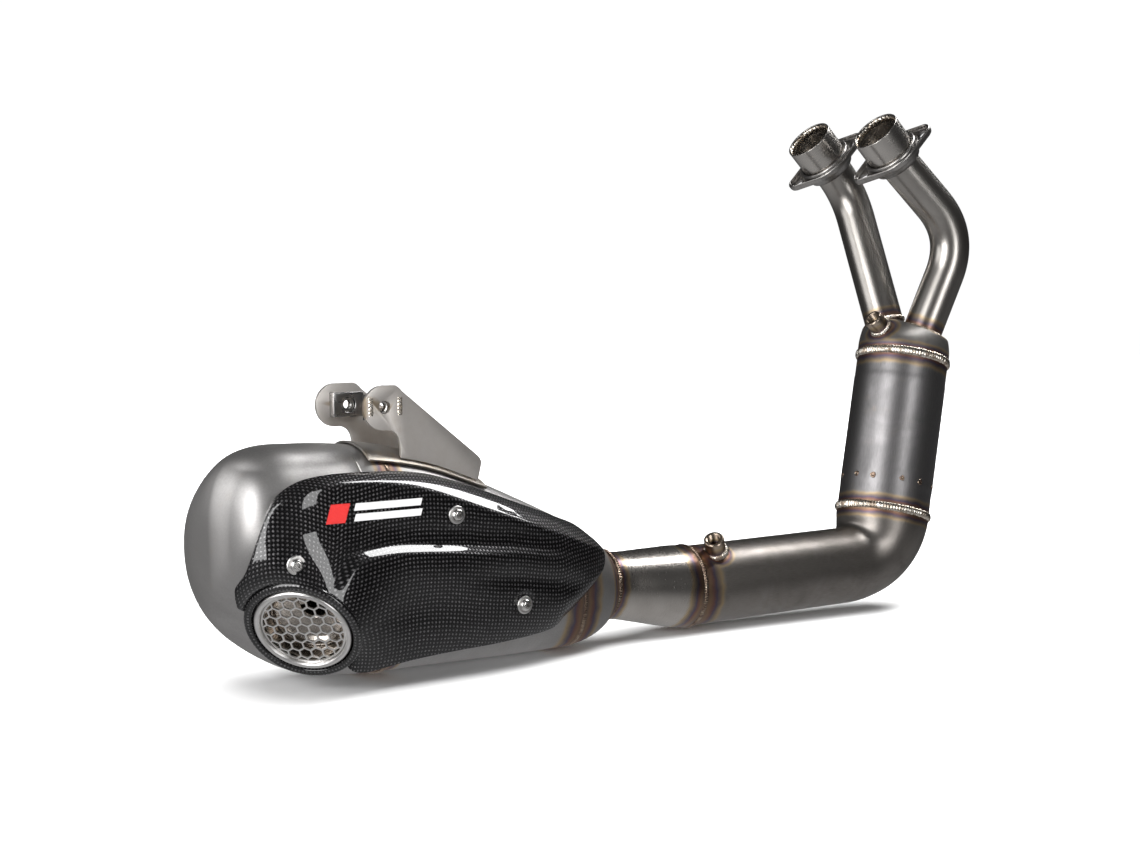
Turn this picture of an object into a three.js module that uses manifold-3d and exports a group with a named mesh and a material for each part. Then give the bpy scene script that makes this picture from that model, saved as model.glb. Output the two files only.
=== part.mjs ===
// Full racing exhaust system for a parallel-twin motorcycle: two header pipes, collector and catalyst can,
// link pipe under the engine, low muffler with a carbon heat shield and a hex-mesh outlet.
// Millimetres. +X is the bike's forward, +Y its left, +Z up. The system lies on the floor at Z = 0.
import * as THREE from 'three';
import { mergeVertices } from 'three/addons/utils/BufferGeometryUtils.js';
import Module from 'manifold-3d';

const wasm = await Module();
wasm.setup();

// ---------------------------------------------------------------- driving dimensions
const GAP = 0.3; // clearance between pieces that touch on the real object
const SHEET = 1.5; // tube and muffler sheet
const PLATE = 3; // hanger and flange plate

const PIPE = { radius: 19.05, sides: 18, steps: 12, firstStraight: 43.3 };
const SPIGOT = { radius: 23.5, length: 34, coneLength: 6, wall: 1.6 };
const FLANGE = {
  studSpacing: 68, earRadius: 10, studHole: 4.6, waist: 30, rim: 4.5, sheet: 2.5,
  bore: 24.1, collar: 27.6, collarHeight: 9.5, seat: 20, drop: 35.5,
};
const PORT_AXIS = new THREE.Vector3(-0.727, 0.032, 0.686).normalize();
const EAR_AXIS = new THREE.Vector3(0.53, -0.63, 0.555);
const HEADERS = {
  right: { mouth: [-24.5, -1.1, 457.6], corner: [74.5, -21, 358], end: [34.6, -6.1, 258], bend: 64 },
  left: { mouth: [-23.5, 91.1, 457.2], corner: [31, 88.5, 405], end: [25.1, 30.7, 266], bend: 62 },
};

const CAN = { radius: 44.5, bottom: [-20.2, -8.8, 88.4], top: [21.4, 4.7, 235.5] };
const WELD = { halfGap: 1.2, halfWidth: 0.9, crown: 1.2, root: 1 };
// collector cap: height above the can, then its reach along and across the line of the two pipes, as shares
const CAP_SECTIONS = [[0, 1, 1], [10, 1, 1], [19, 0.99, 0.9], [28, 0.97, 0.72], [36, 0.93, 0.58]];
const CAP_PIPE_DEPTH = 5;
const CAP_SIDES = 22;
const CORE = { radius: 40.7, length: 96, pitch: 15, cell: 7.2, rings: 2, mantle: 42.6, mantleWall: 1.4 };
const LINK = {
  corner: [-33.5, -12.3, 42], end: [-251.5, 12.3, 37.4],
  radius: 36, bendRadius: 58, bendSteps: 7, taperEnd: 0.9,
};
const CONE = {
  from: [-260.5, 12.8, 37.6], to: [-356, 16.2, 48],
  bigRadius: 37.2, smallRadius: 29.6, straightIn: 8, straightOut: 22,
};
const NECK_WELD = { back: 8, width: 2.4, height: 4.2, thickness: 3.6 };
const BUNG = { radius: 9.2, bore: 6, height: 17, depth: 5 };
const UPPER_BUNG = { foot: [-9, 4, 267], axis: [-0.78, 0, 0.62] };
const LOWER_BUNG = { foot: [-234, -8, 69], axis: [-0.5, -0.4, 0.77] };

const BODY_SIDES = 28;
const BODY_NOSE = -350;
const BODY_TAIL = -707;
const SEAM = { front: -398, middle: -577 };
const BAFFLE = { front: -470, rear: -600, thickness: 1.5 };
// muffler sections from nose to tail: x, right edge y, left edge y, bottom z, top z
const BODY_STATIONS = [
  [-350, -16, 48, 16, 80],
  [-362, -24, 57, 8, 91],
  [-380, -30, 65, 3, 102],
  [-400, -33, 71, 1, 112],
  [-450, -35, 82, 0, 136],
  [-495, -35, 90, 0, 156],
  [-540, -35, 98, 0, 174],
  [-590, -35, 104, 0, 184],
  [-640, -34, 107, 5, 187],
  [-670, -32, 105, 18, 186],
  [-690, -25, 100, 33, 178],
  [-701, -14, 91, 48, 164],
  [-707, 4, 76, 66, 143],
];
const ROUNDNESS = { right: 3.2, upperLeft: 1.2, lowerLeft: 1.5, height: 2.3 };
const INLET = {
  from: [-358, 16.4, 48.4], to: [-590, 48, 100], radius: 24,
  hole: 4, rows: 3, around: 5, firstRow: 135, lastRow: 220,
};
const CROSSOVER = { y: 62, z: 52, radius: 10, overhang: 9 };
const TRANSFER = { y: 30, z: 100, radius: 17 };
const FAR = 300; // reach of the slabs that cut the body into pieces

const OUTLET = {
  centre: [-658.7, -25.7, 49.3], axis: [-0.631, -0.576, -0.52], bezel: 38.5, aperture: 33, bezelDepth: 5.5,
};
const SLEEVE = { radius: 32.4, depth: 44 };
const INSERT = { radius: 12.2, mouth: 19, rim: 4, waist: 32, depth: 62 };
const INSERT_BOLT = { radius: 4, depth: 13, from: 19 };
const FACET_DEPTH = 14;
const GRILLE = { radius: 32.6, thickness: 1.2, pitch: 9.3, cell: 4.9, rings: 4, depth: 4 };

const SHIELD_THICKNESS = 1.8;
const SHIELD_ROWS = 8;
const SHIELD_CLEARANCE = 2.5; // between the shield and the body under it
const TURN_IN = { share: 0.25, top: 10.8, bottom: 8.1 }; // how far the edges curl towards the body
const LIP = { inner: 39.2, outer: 46, depth: 27 };
// shield in plan, from its rear edge round the corner to its front tip: x, y, bottom z, top z
const SHIELD_STATIONS = [
  [-704, -6, 58, 92],
  [-700, -20, 44, 122],
  [-690, -33, 30, 147],
  [-674, -42, 19, 160],
  [-650, -47, 13, 166.5],
  [-610, -48, 15, 167.5],
  [-570, -48, 19, 165],
  [-534, -48, 21, 157.5],
  [-487, -47.5, 22.5, 141.5],
  [-438, -44, 26.5, 124],
  [-420, -42, 38, 118],
  [-400, -38, 51, 110],
  [-385, -34, 63, 99],
  [-377, -31, 73, 88],
];
// where each shield bolt stands on the shield's face, and the way it points
const SHIELD_BOLTS = {
  rear: { spot: [-671, -43, 103], axis: [-0.27, -0.96, 0] },
  upper: { spot: [-535, -48, 130], axis: [0, -1, 0] },
  lower: { spot: [-471, -46.6, 52], axis: [0.03, -1, 0] },
};
const SHIELD_BOLT = {
  washer: 7.4, washerThickness: 1.4, head: 5, headHeight: 3, shank: 2.95, shankDepth: 9, socket: 2.2,
  boss: 6.5, bossDrop: 2.6, bossDepth: 22, lift: 0.6,
};

const HANGER = { x: -576.3, z: 214, nearY: -10, farY: 56, hole: 5.2, endRadius: 17.5, farReach: 6.5 };
const SADDLE = { rear: -592, front: -484, right: -13, left: 60, lift: 1.6, thickness: 2.6 };
const WEB = { start: [34, -2.6], slope: [69, -54], length: 40, thickness: 2.5 };
const CAGE = { width: 27, height: 20, depth: 8, sheet: 1.5, opening: 6.5 };
const NUT = { width: 17, height: 15.5, thickness: 4.5, bore: 3.4 };

// ---------------------------------------------------------------- materials
const METAL = {
  tube: [0x8d8a86, 0.34, 1],
  polished: [0xb9b5ae, 0.2, 1],
  brushed: [0x85827e, 0.42, 1],
  weld: [0xa39a8c, 0.35, 1],
  plate: [0xc2bcb3, 0.38, 1],
  bright: [0xd0d0d0, 0.22, 1],
  substrate: [0x6d6a64, 0.6, 0.8],
  carbon: [0x17181a, 0.16, 0.1],
};

// ---------------------------------------------------------------- helpers
const assembly = new THREE.Group();

function at(x, y, z) {
  return new THREE.Vector3(x, y, z);
}

function vec(values) {
  return at(...values);
}

function add(name, shape, finish) {
  const geometry = shape.isBufferGeometry ? shape : geometryOf(shape);
  const [color, roughness, metalness] = METAL[finish];
  const material = new THREE.MeshStandardMaterial({ color, roughness, metalness });
  const mesh = new THREE.Mesh(geometry, material);
  mesh.name = name;
  assembly.add(mesh);
}

function solid(source) {
  const geometry = source.clone();
  geometry.deleteAttribute('normal');
  geometry.deleteAttribute('uv');
  const merged = mergeVertices(geometry, 1e-4);
  const vertProperties = new Float32Array(merged.attributes.position.array);
  const triVerts = new Uint32Array(merged.index.array);
  return new wasm.Manifold(new wasm.Mesh({ numProp: 3, vertProperties, triVerts }));
}

function geometryOf(manifold) {
  const mesh = manifold.getMesh();
  const geometry = new THREE.BufferGeometry();
  geometry.setAttribute('position', new THREE.BufferAttribute(mesh.vertProperties, 3));
  geometry.setIndex(new THREE.BufferAttribute(mesh.triVerts, 1));
  return geometry;
}

// closed surface through rings of equal point counts; ends: 'loop' joins last to first, 'fan' closes each end
// from its middle, 'strip' closes a ring that runs up one side of a sheet and back down the other
function loft(rings, ends) {
  const sides = rings[0].length;
  const positions = rings.flat().flatMap((p) => [p.x, p.y, p.z]);
  const index = [];
  const quad = (a, b, c, d) => index.push(a, b, c, a, c, d);
  const spans = ends === 'loop' ? rings.length : rings.length - 1;
  for (let r = 0; r < spans; r += 1) {
    const next = (r + 1) % rings.length;
    for (let s = 0; s < sides; s += 1) {
      const t = (s + 1) % sides;
      quad(r * sides + s, r * sides + t, next * sides + t, next * sides + s);
    }
  }
  const last = (rings.length - 1) * sides;
  if (ends === 'fan') {
    [0, last].forEach((first) => {
      const ring = rings[first / sides];
      const centre = new THREE.Vector3();
      ring.forEach((p) => centre.addScaledVector(p, 1 / sides));
      const hub = positions.length / 3;
      positions.push(centre.x, centre.y, centre.z);
      for (let s = 0; s < sides; s += 1) {
        const edge = [first + s, first + ((s + 1) % sides)];
        index.push(hub, ...(first === 0 ? edge.reverse() : edge));
      }
    });
  }
  if (ends === 'strip') {
    for (let s = 0; s < sides / 2 - 1; s += 1) {
      const mirror = sides - 1 - s;
      quad(s, mirror, mirror - 1, s + 1);
      quad(last + s, last + s + 1, last + mirror - 1, last + mirror);
    }
  }
  const geometry = new THREE.BufferGeometry();
  geometry.setAttribute('position', new THREE.Float32BufferAttribute(positions, 3));
  geometry.setIndex(index);
  if (signedVolume(geometry) < 0) {
    geometry.setIndex(index.reverse());
  }
  return solid(geometry);
}

function signedVolume(geometry) {
  const position = geometry.attributes.position;
  const index = geometry.index.array;
  const [a, b, c] = [new THREE.Vector3(), new THREE.Vector3(), new THREE.Vector3()];
  let volume = 0;
  for (let i = 0; i < index.length; i += 3) {
    a.fromBufferAttribute(position, index[i]);
    b.fromBufferAttribute(position, index[i + 1]);
    c.fromBufferAttribute(position, index[i + 2]);
    volume += a.dot(b.cross(c)) / 6;
  }
  return volume;
}

// turns a closed profile of [radius, height] pairs about an axis that starts at base
function turned(profile, base, direction, sides = 24) {
  const points = [...profile, profile[0]].map(([r, h]) => new THREE.Vector2(r, h));
  const geometry = new THREE.LatheGeometry(points, sides);
  if (signedVolume(geometry) < 0) {
    geometry.setIndex(Array.from(geometry.index.array).reverse());
  }
  return solid(place(geometry, base, direction));
}

function place(geometry, base, direction) {
  const turn = new THREE.Quaternion().setFromUnitVectors(at(0, 1, 0), direction.clone().normalize());
  geometry.applyQuaternion(turn);
  return geometry.translate(base.x, base.y, base.z);
}

function rod(radius, from, to, sides = 24) {
  const length = from.distanceTo(to);
  const geometry = new THREE.CylinderGeometry(radius, radius, length, sides);
  geometry.translate(0, length / 2, 0);
  return solid(place(geometry, from, to.clone().sub(from)));
}

// everything near a plane on the side that direction points to
function halfSpace(point, direction) {
  const block = new THREE.BoxGeometry(FAR, FAR / 3, FAR).translate(0, FAR / 6, 0);
  return solid(place(block, point, direction));
}

function box(min, max) {
  const size = max.map((value, i) => value - min[i]);
  const geometry = new THREE.BoxGeometry(...size);
  return solid(geometry.translate(...min.map((value, i) => value + size[i] / 2)));
}

function along(from, direction, distance) {
  return from.clone().addScaledVector(direction, distance);
}

// path of two straight runs joined by one bend
function bentPath(from, corner, to, bendRadius) {
  const into = corner.clone().sub(from).normalize();
  const out = to.clone().sub(corner).normalize();
  const reach = bendRadius * Math.tan(into.angleTo(out) / 2);
  const start = along(corner, into, -reach);
  const finish = along(corner, out, reach);
  const path = new THREE.CurvePath();
  path.add(new THREE.LineCurve3(from, start));
  path.add(new THREE.QuadraticBezierCurve3(start, corner, finish));
  path.add(new THREE.LineCurve3(finish, to));
  return path;
}

function tube(path, outer, inner, steps, sides) {
  const section = new THREE.Shape();
  section.absarc(0, 0, outer, 0, 2 * Math.PI);
  const bore = new THREE.Path();
  bore.absarc(0, 0, inner, 0, 2 * Math.PI, true);
  section.holes.push(bore);
  const settings = { extrudePath: path, steps, curveSegments: sides / 2, bevelEnabled: false };
  return solid(new THREE.ExtrudeGeometry(section, settings));
}

function circle(centre, u, v, radiusU, radiusV, sides) {
  return Array.from({ length: sides }, (_, i) => {
    const angle = (2 * Math.PI * i) / sides;
    return along(along(centre, u, radiusU * Math.cos(angle)), v, radiusV * Math.sin(angle));
  });
}

function regularPolygon(x, y, radius, corners, turn = 0) {
  return Array.from({ length: corners }, (_, i) => {
    const angle = turn + (2 * Math.PI * i) / corners;
    return new THREE.Vector2(x + radius * Math.cos(angle), y + radius * Math.sin(angle));
  });
}

// round disc with hexagonal cells, its flat face on the XY plane
function honeycomb(radius, thickness, pitch, cell, rings) {
  const disc = new THREE.Shape();
  disc.absarc(0, 0, radius, 0, 2 * Math.PI);
  for (let q = -rings; q <= rings; q += 1) {
    for (let r = -rings; r <= rings; r += 1) {
      const x = pitch * (q + r / 2);
      const y = (pitch * r * Math.sqrt(3)) / 2;
      if (Math.abs(q + r) <= rings && Math.hypot(x, y) + cell <= radius - 1) {
        disc.holes.push(new THREE.Path(regularPolygon(x, y, cell, 6, Math.PI / 6)));
      }
    }
  }
  return new THREE.ExtrudeGeometry(disc, { depth: thickness, bevelEnabled: false, curveSegments: 14 });
}

// ---------------------------------------------------------------- header pipes and port flanges
const earAxis = EAR_AXIS.clone().addScaledVector(PORT_AXIS, -EAR_AXIS.dot(PORT_AXIS)).normalize();
const sideAxis = new THREE.Vector3().crossVectors(PORT_AXIS, earAxis);

function headerPath(header) {
  const start = along(vec(header.mouth), PORT_AXIS, -PIPE.firstStraight);
  return bentPath(start, vec(header.corner), vec(header.end), header.bend);
}

function spigot(mouth) {
  const { radius, length, coneLength, wall } = SPIGOT;
  const foot = PIPE.radius + 0.4;
  const end = -length - coneLength;
  const profile = [
    [radius - wall, 0],
    [radius, 0],
    [radius, -length],
    [foot, end],
    [foot - wall - 0.4, end],
    [radius - wall, -length + 1],
  ];
  return turned(profile, mouth, PORT_AXIS, 24);
}

// outline of the pressed plate in its own frame, ears along X
function flangeOutline(grow) {
  const { studSpacing, earRadius, waist } = FLANGE;
  const half = studSpacing / 2;
  const side = Math.PI / 2.6;
  const ear = Math.PI / 3;
  const outline = new THREE.Shape();
  outline.absarc(half, 0, earRadius + grow, -ear, ear);
  outline.absarc(0, 0, waist + grow, side, Math.PI - side);
  outline.absarc(-half, 0, earRadius + grow, Math.PI - ear, Math.PI + ear);
  outline.absarc(0, 0, waist + grow, Math.PI + side, 2 * Math.PI - side);
  return outline;
}

function flangeLayer(grow, depth) {
  const settings = { depth, bevelEnabled: false, curveSegments: 5 };
  return solid(new THREE.ExtrudeGeometry(flangeOutline(grow), settings));
}

// plate with a turned-up rim, a collar round the spigot and a seat under its cone, facing +Z
function flange(mouth) {
  const { studSpacing, studHole, rim, sheet, bore, collar, collarHeight, seat, drop } = FLANGE;
  const origin = new THREE.Vector3();
  const up = at(0, 0, 1);
  const pocket = flangeLayer(-sheet, rim + sheet).translate([0, 0, sheet]);
  const seatDepth = 7;
  const ring = [
    [seat, -seatDepth],
    [bore, -seatDepth],
    [collar, 0],
    [collar, collarHeight - 1.5],
    [collar - 1.5, collarHeight],
    [bore, collarHeight],
    [bore, 1 - seatDepth / 2],
  ];
  const opening = rod(bore + 1, at(0, 0, -1), at(0, 0, 20));
  let plate = flangeLayer(0, rim + sheet).subtract(pocket).subtract(opening);
  [-1, 1].forEach((end) => {
    const x = (end * studSpacing) / 2;
    plate = plate.subtract(rod(studHole, at(x, 0, -1), at(x, 0, 20), 12));
  });
  const geometry = geometryOf(plate.add(turned(ring, origin, up)));
  geometry.applyMatrix4(new THREE.Matrix4().makeBasis(earAxis, sideAxis, PORT_AXIS));
  const seatPoint = along(mouth, PORT_AXIS, -drop);
  return geometry.translate(seatPoint.x, seatPoint.y, seatPoint.z);
}

Object.entries(HEADERS).forEach(([side, header]) => {
  const mouth = vec(header.mouth);
  const { radius, steps, sides } = PIPE;
  add(`header_tube_${side}`, tube(headerPath(header), radius, radius - SHEET, steps, sides), 'tube');
  add(`port_spigot_${side}`, spigot(mouth), 'polished');
  add(`port_flange_${side}`, flange(mouth), 'brushed');
});

// ---------------------------------------------------------------- collector cap and catalyst can
const canBottom = vec(CAN.bottom);
const canTop = vec(CAN.top);
const canAxis = canTop.clone().sub(canBottom).normalize();
const tubeEnds = [vec(HEADERS.right.end), vec(HEADERS.left.end)];
const capLong = tubeEnds[1].clone().sub(tubeEnds[0]);
capLong.addScaledVector(canAxis, -capLong.dot(canAxis)).normalize();
const capShort = new THREE.Vector3().crossVectors(canAxis, capLong);

function capSolid(inset) {
  const foot = along(canTop, canAxis, WELD.halfGap);
  const middle = tubeEnds[0].clone().lerp(tubeEnds[1], 0.5);
  const height = CAP_SECTIONS.at(-1)[0];
  const lean = middle.sub(along(foot, canAxis, height));
  lean.addScaledVector(canAxis, -lean.dot(canAxis));
  const rings = CAP_SECTIONS.map(([rise, long, short], i) => {
    const base = i === 0 && inset > 0 ? -1 : rise;
    const centre = along(along(foot, canAxis, base), lean, (rise / height) ** 2);
    const [reachLong, reachShort] = [CAN.radius * long - inset, CAN.radius * short - inset];
    return circle(centre, capLong, capShort, reachLong, reachShort, CAP_SIDES);
  });
  return Object.values(HEADERS).reduce((shape, header) => {
    const up = vec(header.corner).sub(vec(header.end)).normalize();
    return shape.subtract(halfSpace(along(vec(header.end), up, CAP_PIPE_DEPTH - inset), up));
  }, loft(rings, 'fan'));
}

function tubeHole(header) {
  const [end, corner] = [vec(header.end), vec(header.corner)];
  return rod(PIPE.radius + GAP, end.clone().lerp(corner, -0.3), end.clone().lerp(corner, 0.4), PIPE.sides);
}

function bung({ foot, axis }) {
  const { radius, bore, height, depth } = BUNG;
  const profile = [
    [bore, -depth],
    [radius, -depth],
    [radius, height - 1],
    [radius - 1, height],
    [bore, height],
  ];
  return turned(profile, vec(foot), vec(axis), 20);
}

function bungHole({ foot, axis }) {
  const direction = vec(axis).normalize();
  return rod(BUNG.radius + GAP, along(vec(foot), direction, -20), along(vec(foot), direction, 20), 20);
}

let cap = capSolid(0).subtract(capSolid(SHEET));
Object.values(HEADERS).forEach((header) => {
  cap = cap.subtract(tubeHole(header));
});
add('collector_cap', cap.subtract(bungHole(UPPER_BUNG)), 'brushed');
add('sensor_bung_upper', bung(UPPER_BUNG), 'bright');

function ringWall(outer, wall, from, to, sides = 28) {
  const length = from.distanceTo(to);
  const profile = [[outer - wall, 0], [outer, 0], [outer, length], [outer - wall, length]];
  return turned(profile, from, to.clone().sub(from), sides);
}

function weldBead(radius, centre, axis) {
  const from = along(centre, axis, -WELD.halfWidth);
  const to = along(centre, axis, WELD.halfWidth);
  return ringWall(radius + WELD.crown, WELD.crown + WELD.root, from, to);
}

const canLow = along(canBottom, canAxis, WELD.halfGap);
const canHigh = along(canTop, canAxis, -WELD.halfGap);
add('catalyst_can', ringWall(CAN.radius, SHEET, canLow, canHigh), 'brushed');
add('can_weld_upper', weldBead(CAN.radius, canTop, canAxis), 'weld');
add('can_weld_lower', weldBead(CAN.radius, canBottom, canAxis), 'weld');

const coreStart = along(canBottom, canAxis, (canBottom.distanceTo(canTop) - CORE.length) / 2);
const coreEnd = along(coreStart, canAxis, CORE.length);
add('catalyst_mantle', ringWall(CORE.mantle, CORE.mantleWall, coreStart, coreEnd), 'brushed');
const matrix = honeycomb(CORE.radius, CORE.length, CORE.pitch, CORE.cell, CORE.rings);
matrix.rotateX(-Math.PI / 2);
add('catalyst_core', solid(place(matrix, coreStart, canAxis)), 'substrate');

// ---------------------------------------------------------------- link pipe and inlet cone
const linkStart = along(canBottom, canAxis, -WELD.halfGap - 1);
const linkPath = bentPath(linkStart, vec(LINK.corner), vec(LINK.end), LINK.bendRadius);

function linkRings(inset) {
  const [firstLength, bendLength, total] = linkPath.getCurveLengths();
  const stations = [0];
  for (let i = 0; i <= LINK.bendSteps; i += 1) {
    stations.push((firstLength + ((bendLength - firstLength) * i) / LINK.bendSteps) / total);
  }
  stations.push(1);
  const across = linkPath.getTangentAt(0).cross(linkPath.getTangentAt(1)).normalize();
  return stations.map((station) => {
    const tangent = linkPath.getTangentAt(station);
    const inward = new THREE.Vector3().crossVectors(across, tangent);
    const taper = THREE.MathUtils.smoothstep(station * total, 0, bendLength * LINK.taperEnd);
    const radius = THREE.MathUtils.lerp(CAN.radius, LINK.radius, taper) - inset;
    return circle(linkPath.getPointAt(station), inward, across, radius, radius, 24);
  });
}

const linkShell = loft([...linkRings(0), ...linkRings(SHEET).reverse()], 'loop');
add('link_pipe', linkShell.subtract(bungHole(LOWER_BUNG)), 'brushed');
add('sensor_bung_lower', bung(LOWER_BUNG), 'bright');

const coneFrom = vec(CONE.from);
const coneTo = vec(CONE.to);
const coneAxis = coneTo.clone().sub(coneFrom).normalize();
const coneLength = coneFrom.distanceTo(coneTo);
const coneProfile = [
  [CONE.bigRadius - SHEET, 0],
  [CONE.bigRadius, 0],
  [CONE.bigRadius, CONE.straightIn],
  [CONE.smallRadius, coneLength - CONE.straightOut],
  [CONE.smallRadius, coneLength],
  [CONE.smallRadius - SHEET, coneLength],
  [CONE.smallRadius - SHEET, coneLength - CONE.straightOut],
  [CONE.bigRadius - SHEET, CONE.straightIn],
];
add('inlet_cone', turned(coneProfile, coneFrom, coneAxis, 28), 'polished');
const linkJoint = vec(LINK.end).lerp(coneFrom, 0.5);
const linkTangent = linkPath.getTangentAt(1);
add('link_weld', weldBead(CONE.bigRadius, linkJoint, coneAxis.clone().add(linkTangent).normalize()), 'weld');

const neckSpot = along(coneTo, coneAxis, -NECK_WELD.back);
const neckStart = along(neckSpot, coneAxis, -NECK_WELD.width);
const neckRadius = CONE.smallRadius + NECK_WELD.height;
add('neck_weld', ringWall(neckRadius, NECK_WELD.thickness, neckSpot, neckStart), 'weld');

// ---------------------------------------------------------------- muffler body
const stationValues = BODY_STATIONS.slice().reverse();
const sections = new THREE.CubicInterpolant(
  stationValues.map((row) => row[0]),
  stationValues.flatMap((row) => row.slice(1)),
  4,
);

function bodyRing(x, grow) {
  const [right, left, bottom, top] = sections.evaluate(THREE.MathUtils.clamp(x, BODY_TAIL, BODY_NOSE));
  const [y, z] = [(right + left) / 2, (bottom + top) / 2];
  const halfWidth = (left - right) / 2 + grow;
  const halfHeight = (top - bottom) / 2 + grow;
  const blend = THREE.MathUtils.smoothstep(BODY_NOSE - x, 0, 50);
  return Array.from({ length: BODY_SIDES }, (_, i) => {
    const angle = (2 * Math.PI * i) / BODY_SIDES;
    const [c, s] = [Math.cos(angle), Math.sin(angle)];
    const leftPower = s > 0 ? ROUNDNESS.upperLeft : ROUNDNESS.lowerLeft;
    const sideways = THREE.MathUtils.lerp(2, c < 0 ? ROUNDNESS.right : leftPower, blend);
    const upDown = THREE.MathUtils.lerp(2, ROUNDNESS.height, blend);
    const reach = Math.sign(c) * Math.abs(c) ** (2 / sideways);
    const rise = Math.sign(s) * Math.abs(s) ** (2 / upDown);
    return at(x, y + halfWidth * reach, z + halfHeight * rise);
  });
}

function bodySolid(grow, noseReach = 0) {
  const stops = BODY_STATIONS.map((row) => row[0]);
  const rings = stops.map((x) => bodyRing(x, grow));
  rings[0].forEach((p) => p.setX(BODY_NOSE + noseReach));
  rings.at(-1).forEach((p) => p.setX(BODY_TAIL - grow));
  return loft(rings, 'fan');
}

const outletCentre = vec(OUTLET.centre);
const outletAxis = vec(OUTLET.axis).normalize();

// everything beyond a plane square to the outlet axis, at a depth behind the bezel's face
function beyondFacet(depth) {
  return halfSpace(along(outletCentre, outletAxis, -depth), outletAxis);
}

function facetedBody(grow, noseReach) {
  return bodySolid(grow, noseReach).subtract(beyondFacet(FACET_DEPTH - grow));
}

function slab(from, to) {
  return box([from, -FAR, -FAR], [to, FAR, FAR]);
}

const outletInside = along(outletCentre, outletAxis, -SLEEVE.depth - 6);
const outletHole = rod(SLEEVE.radius + GAP, outletInside, along(outletCentre, outletAxis, 5));
const bodyShell = facetedBody(0, 0).subtract(facetedBody(-SHEET, 5));
const frontSlab = slab(SEAM.front + WELD.halfGap, BODY_NOSE + 1);
const middleSlab = slab(SEAM.middle + WELD.halfGap, SEAM.front - WELD.halfGap);
const rearSlab = slab(BODY_TAIL - 5, SEAM.middle - WELD.halfGap);
add('muffler_front_cap', bodyShell.intersect(frontSlab), 'brushed');
add('muffler_middle_shell', bodyShell.intersect(middleSlab), 'brushed');
add('muffler_rear_shell', bodyShell.intersect(rearSlab).subtract(outletHole), 'brushed');

const beadShell = facetedBody(WELD.crown, 0).subtract(facetedBody(-WELD.root, 5));
Object.entries(SEAM).forEach(([name, x]) => {
  add(`muffler_weld_${name}`, beadShell.intersect(slab(x - WELD.halfWidth, x + WELD.halfWidth)), 'weld');
});

// ---------------------------------------------------------------- inside the muffler
const inletFrom = vec(INLET.from);
const inletTo = vec(INLET.to);
const inletAxis = inletTo.clone().sub(inletFrom).normalize();

function perforatedInlet() {
  const { radius, hole, rows, around, firstRow, lastRow } = INLET;
  const square = at(0, 1, 0).cross(inletAxis).normalize();
  let wall = ringWall(radius, SHEET, inletFrom, inletTo, 20);
  for (let row = 0; row < rows; row += 1) {
    const centre = along(inletFrom, inletAxis, THREE.MathUtils.lerp(firstRow, lastRow, row / (rows - 1)));
    for (let i = 0; i < around; i += 1) {
      const turn = (2 * Math.PI * (i + (row % 2) / 2)) / around;
      const outward = square.clone().applyAxisAngle(inletAxis, turn);
      wall = wall.subtract(rod(hole, centre, along(centre, outward, radius + 5), 6));
    }
  }
  return wall;
}

add('inlet_tube', perforatedInlet(), 'tube');

const crossoverFrom = at(BAFFLE.front + CROSSOVER.overhang, CROSSOVER.y, CROSSOVER.z);
const crossoverTo = at(BAFFLE.rear - CROSSOVER.overhang, CROSSOVER.y, CROSSOVER.z);
add('crossover_tube', ringWall(CROSSOVER.radius, SHEET, crossoverFrom, crossoverTo, 16), 'tube');

function baffle(x) {
  const half = BAFFLE.thickness / 2;
  const plate = bodySolid(-SHEET - GAP).intersect(slab(x - half, x + half));
  const crossoverHole = rod(CROSSOVER.radius + GAP, crossoverTo, crossoverFrom, 16);
  return plate.subtract(crossoverHole);
}

const inletHole = rod(INLET.radius + 2 * GAP, inletFrom, inletTo, 20);
add('baffle_front', baffle(BAFFLE.front).subtract(inletHole), 'brushed');
const transferFrom = at(BAFFLE.rear - 5, TRANSFER.y, TRANSFER.z);
const transferHole = rod(TRANSFER.radius, transferFrom, at(BAFFLE.rear + 5, TRANSFER.y, TRANSFER.z), 16);
add('baffle_rear', baffle(BAFFLE.rear).subtract(transferHole), 'brushed');

// ---------------------------------------------------------------- outlet
function outletTurned(profile, sides) {
  return turned(profile, outletCentre, outletAxis, sides);
}

const { bezel, aperture, bezelDepth } = OUTLET;
const bezelProfile = [
  [aperture, -bezelDepth],
  [bezel, -bezelDepth],
  [bezel, -2],
  [bezel - 1.5, 0],
  [aperture + 2, 0.4],
  [aperture, -1],
];
add('outlet_bezel', outletTurned(bezelProfile, 30), 'bright');

const grille = honeycomb(GRILLE.radius, GRILLE.thickness, GRILLE.pitch, GRILLE.cell, GRILLE.rings);
grille.rotateX(-Math.PI / 2);
const grilleSpot = along(outletCentre, outletAxis, -GRILLE.depth);
add('outlet_grille', solid(place(grille, grilleSpot, outletAxis)), 'bright');

const sleeveTop = along(outletCentre, outletAxis, -bezelDepth - GAP);
const sleeveEnd = along(outletCentre, outletAxis, -SLEEVE.depth);
add('outlet_sleeve', ringWall(SLEEVE.radius, SHEET, sleeveEnd, sleeveTop, 28), 'polished');

const coneRim = SLEEVE.radius - SHEET - GAP;
const insertProfile = [
  [coneRim, -INSERT.mouth],
  [coneRim, -INSERT.mouth - INSERT.rim],
  [INSERT.radius, -INSERT.waist - 2],
  [INSERT.radius, -INSERT.depth],
  [INSERT.radius - SHEET, -INSERT.depth],
  [INSERT.radius - SHEET, -INSERT.waist],
  [coneRim - SHEET, -INSERT.mouth - INSERT.rim + 1],
  [coneRim - SHEET, -INSERT.mouth],
];
add('outlet_insert', outletTurned(insertProfile, 24), 'bright');

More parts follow.
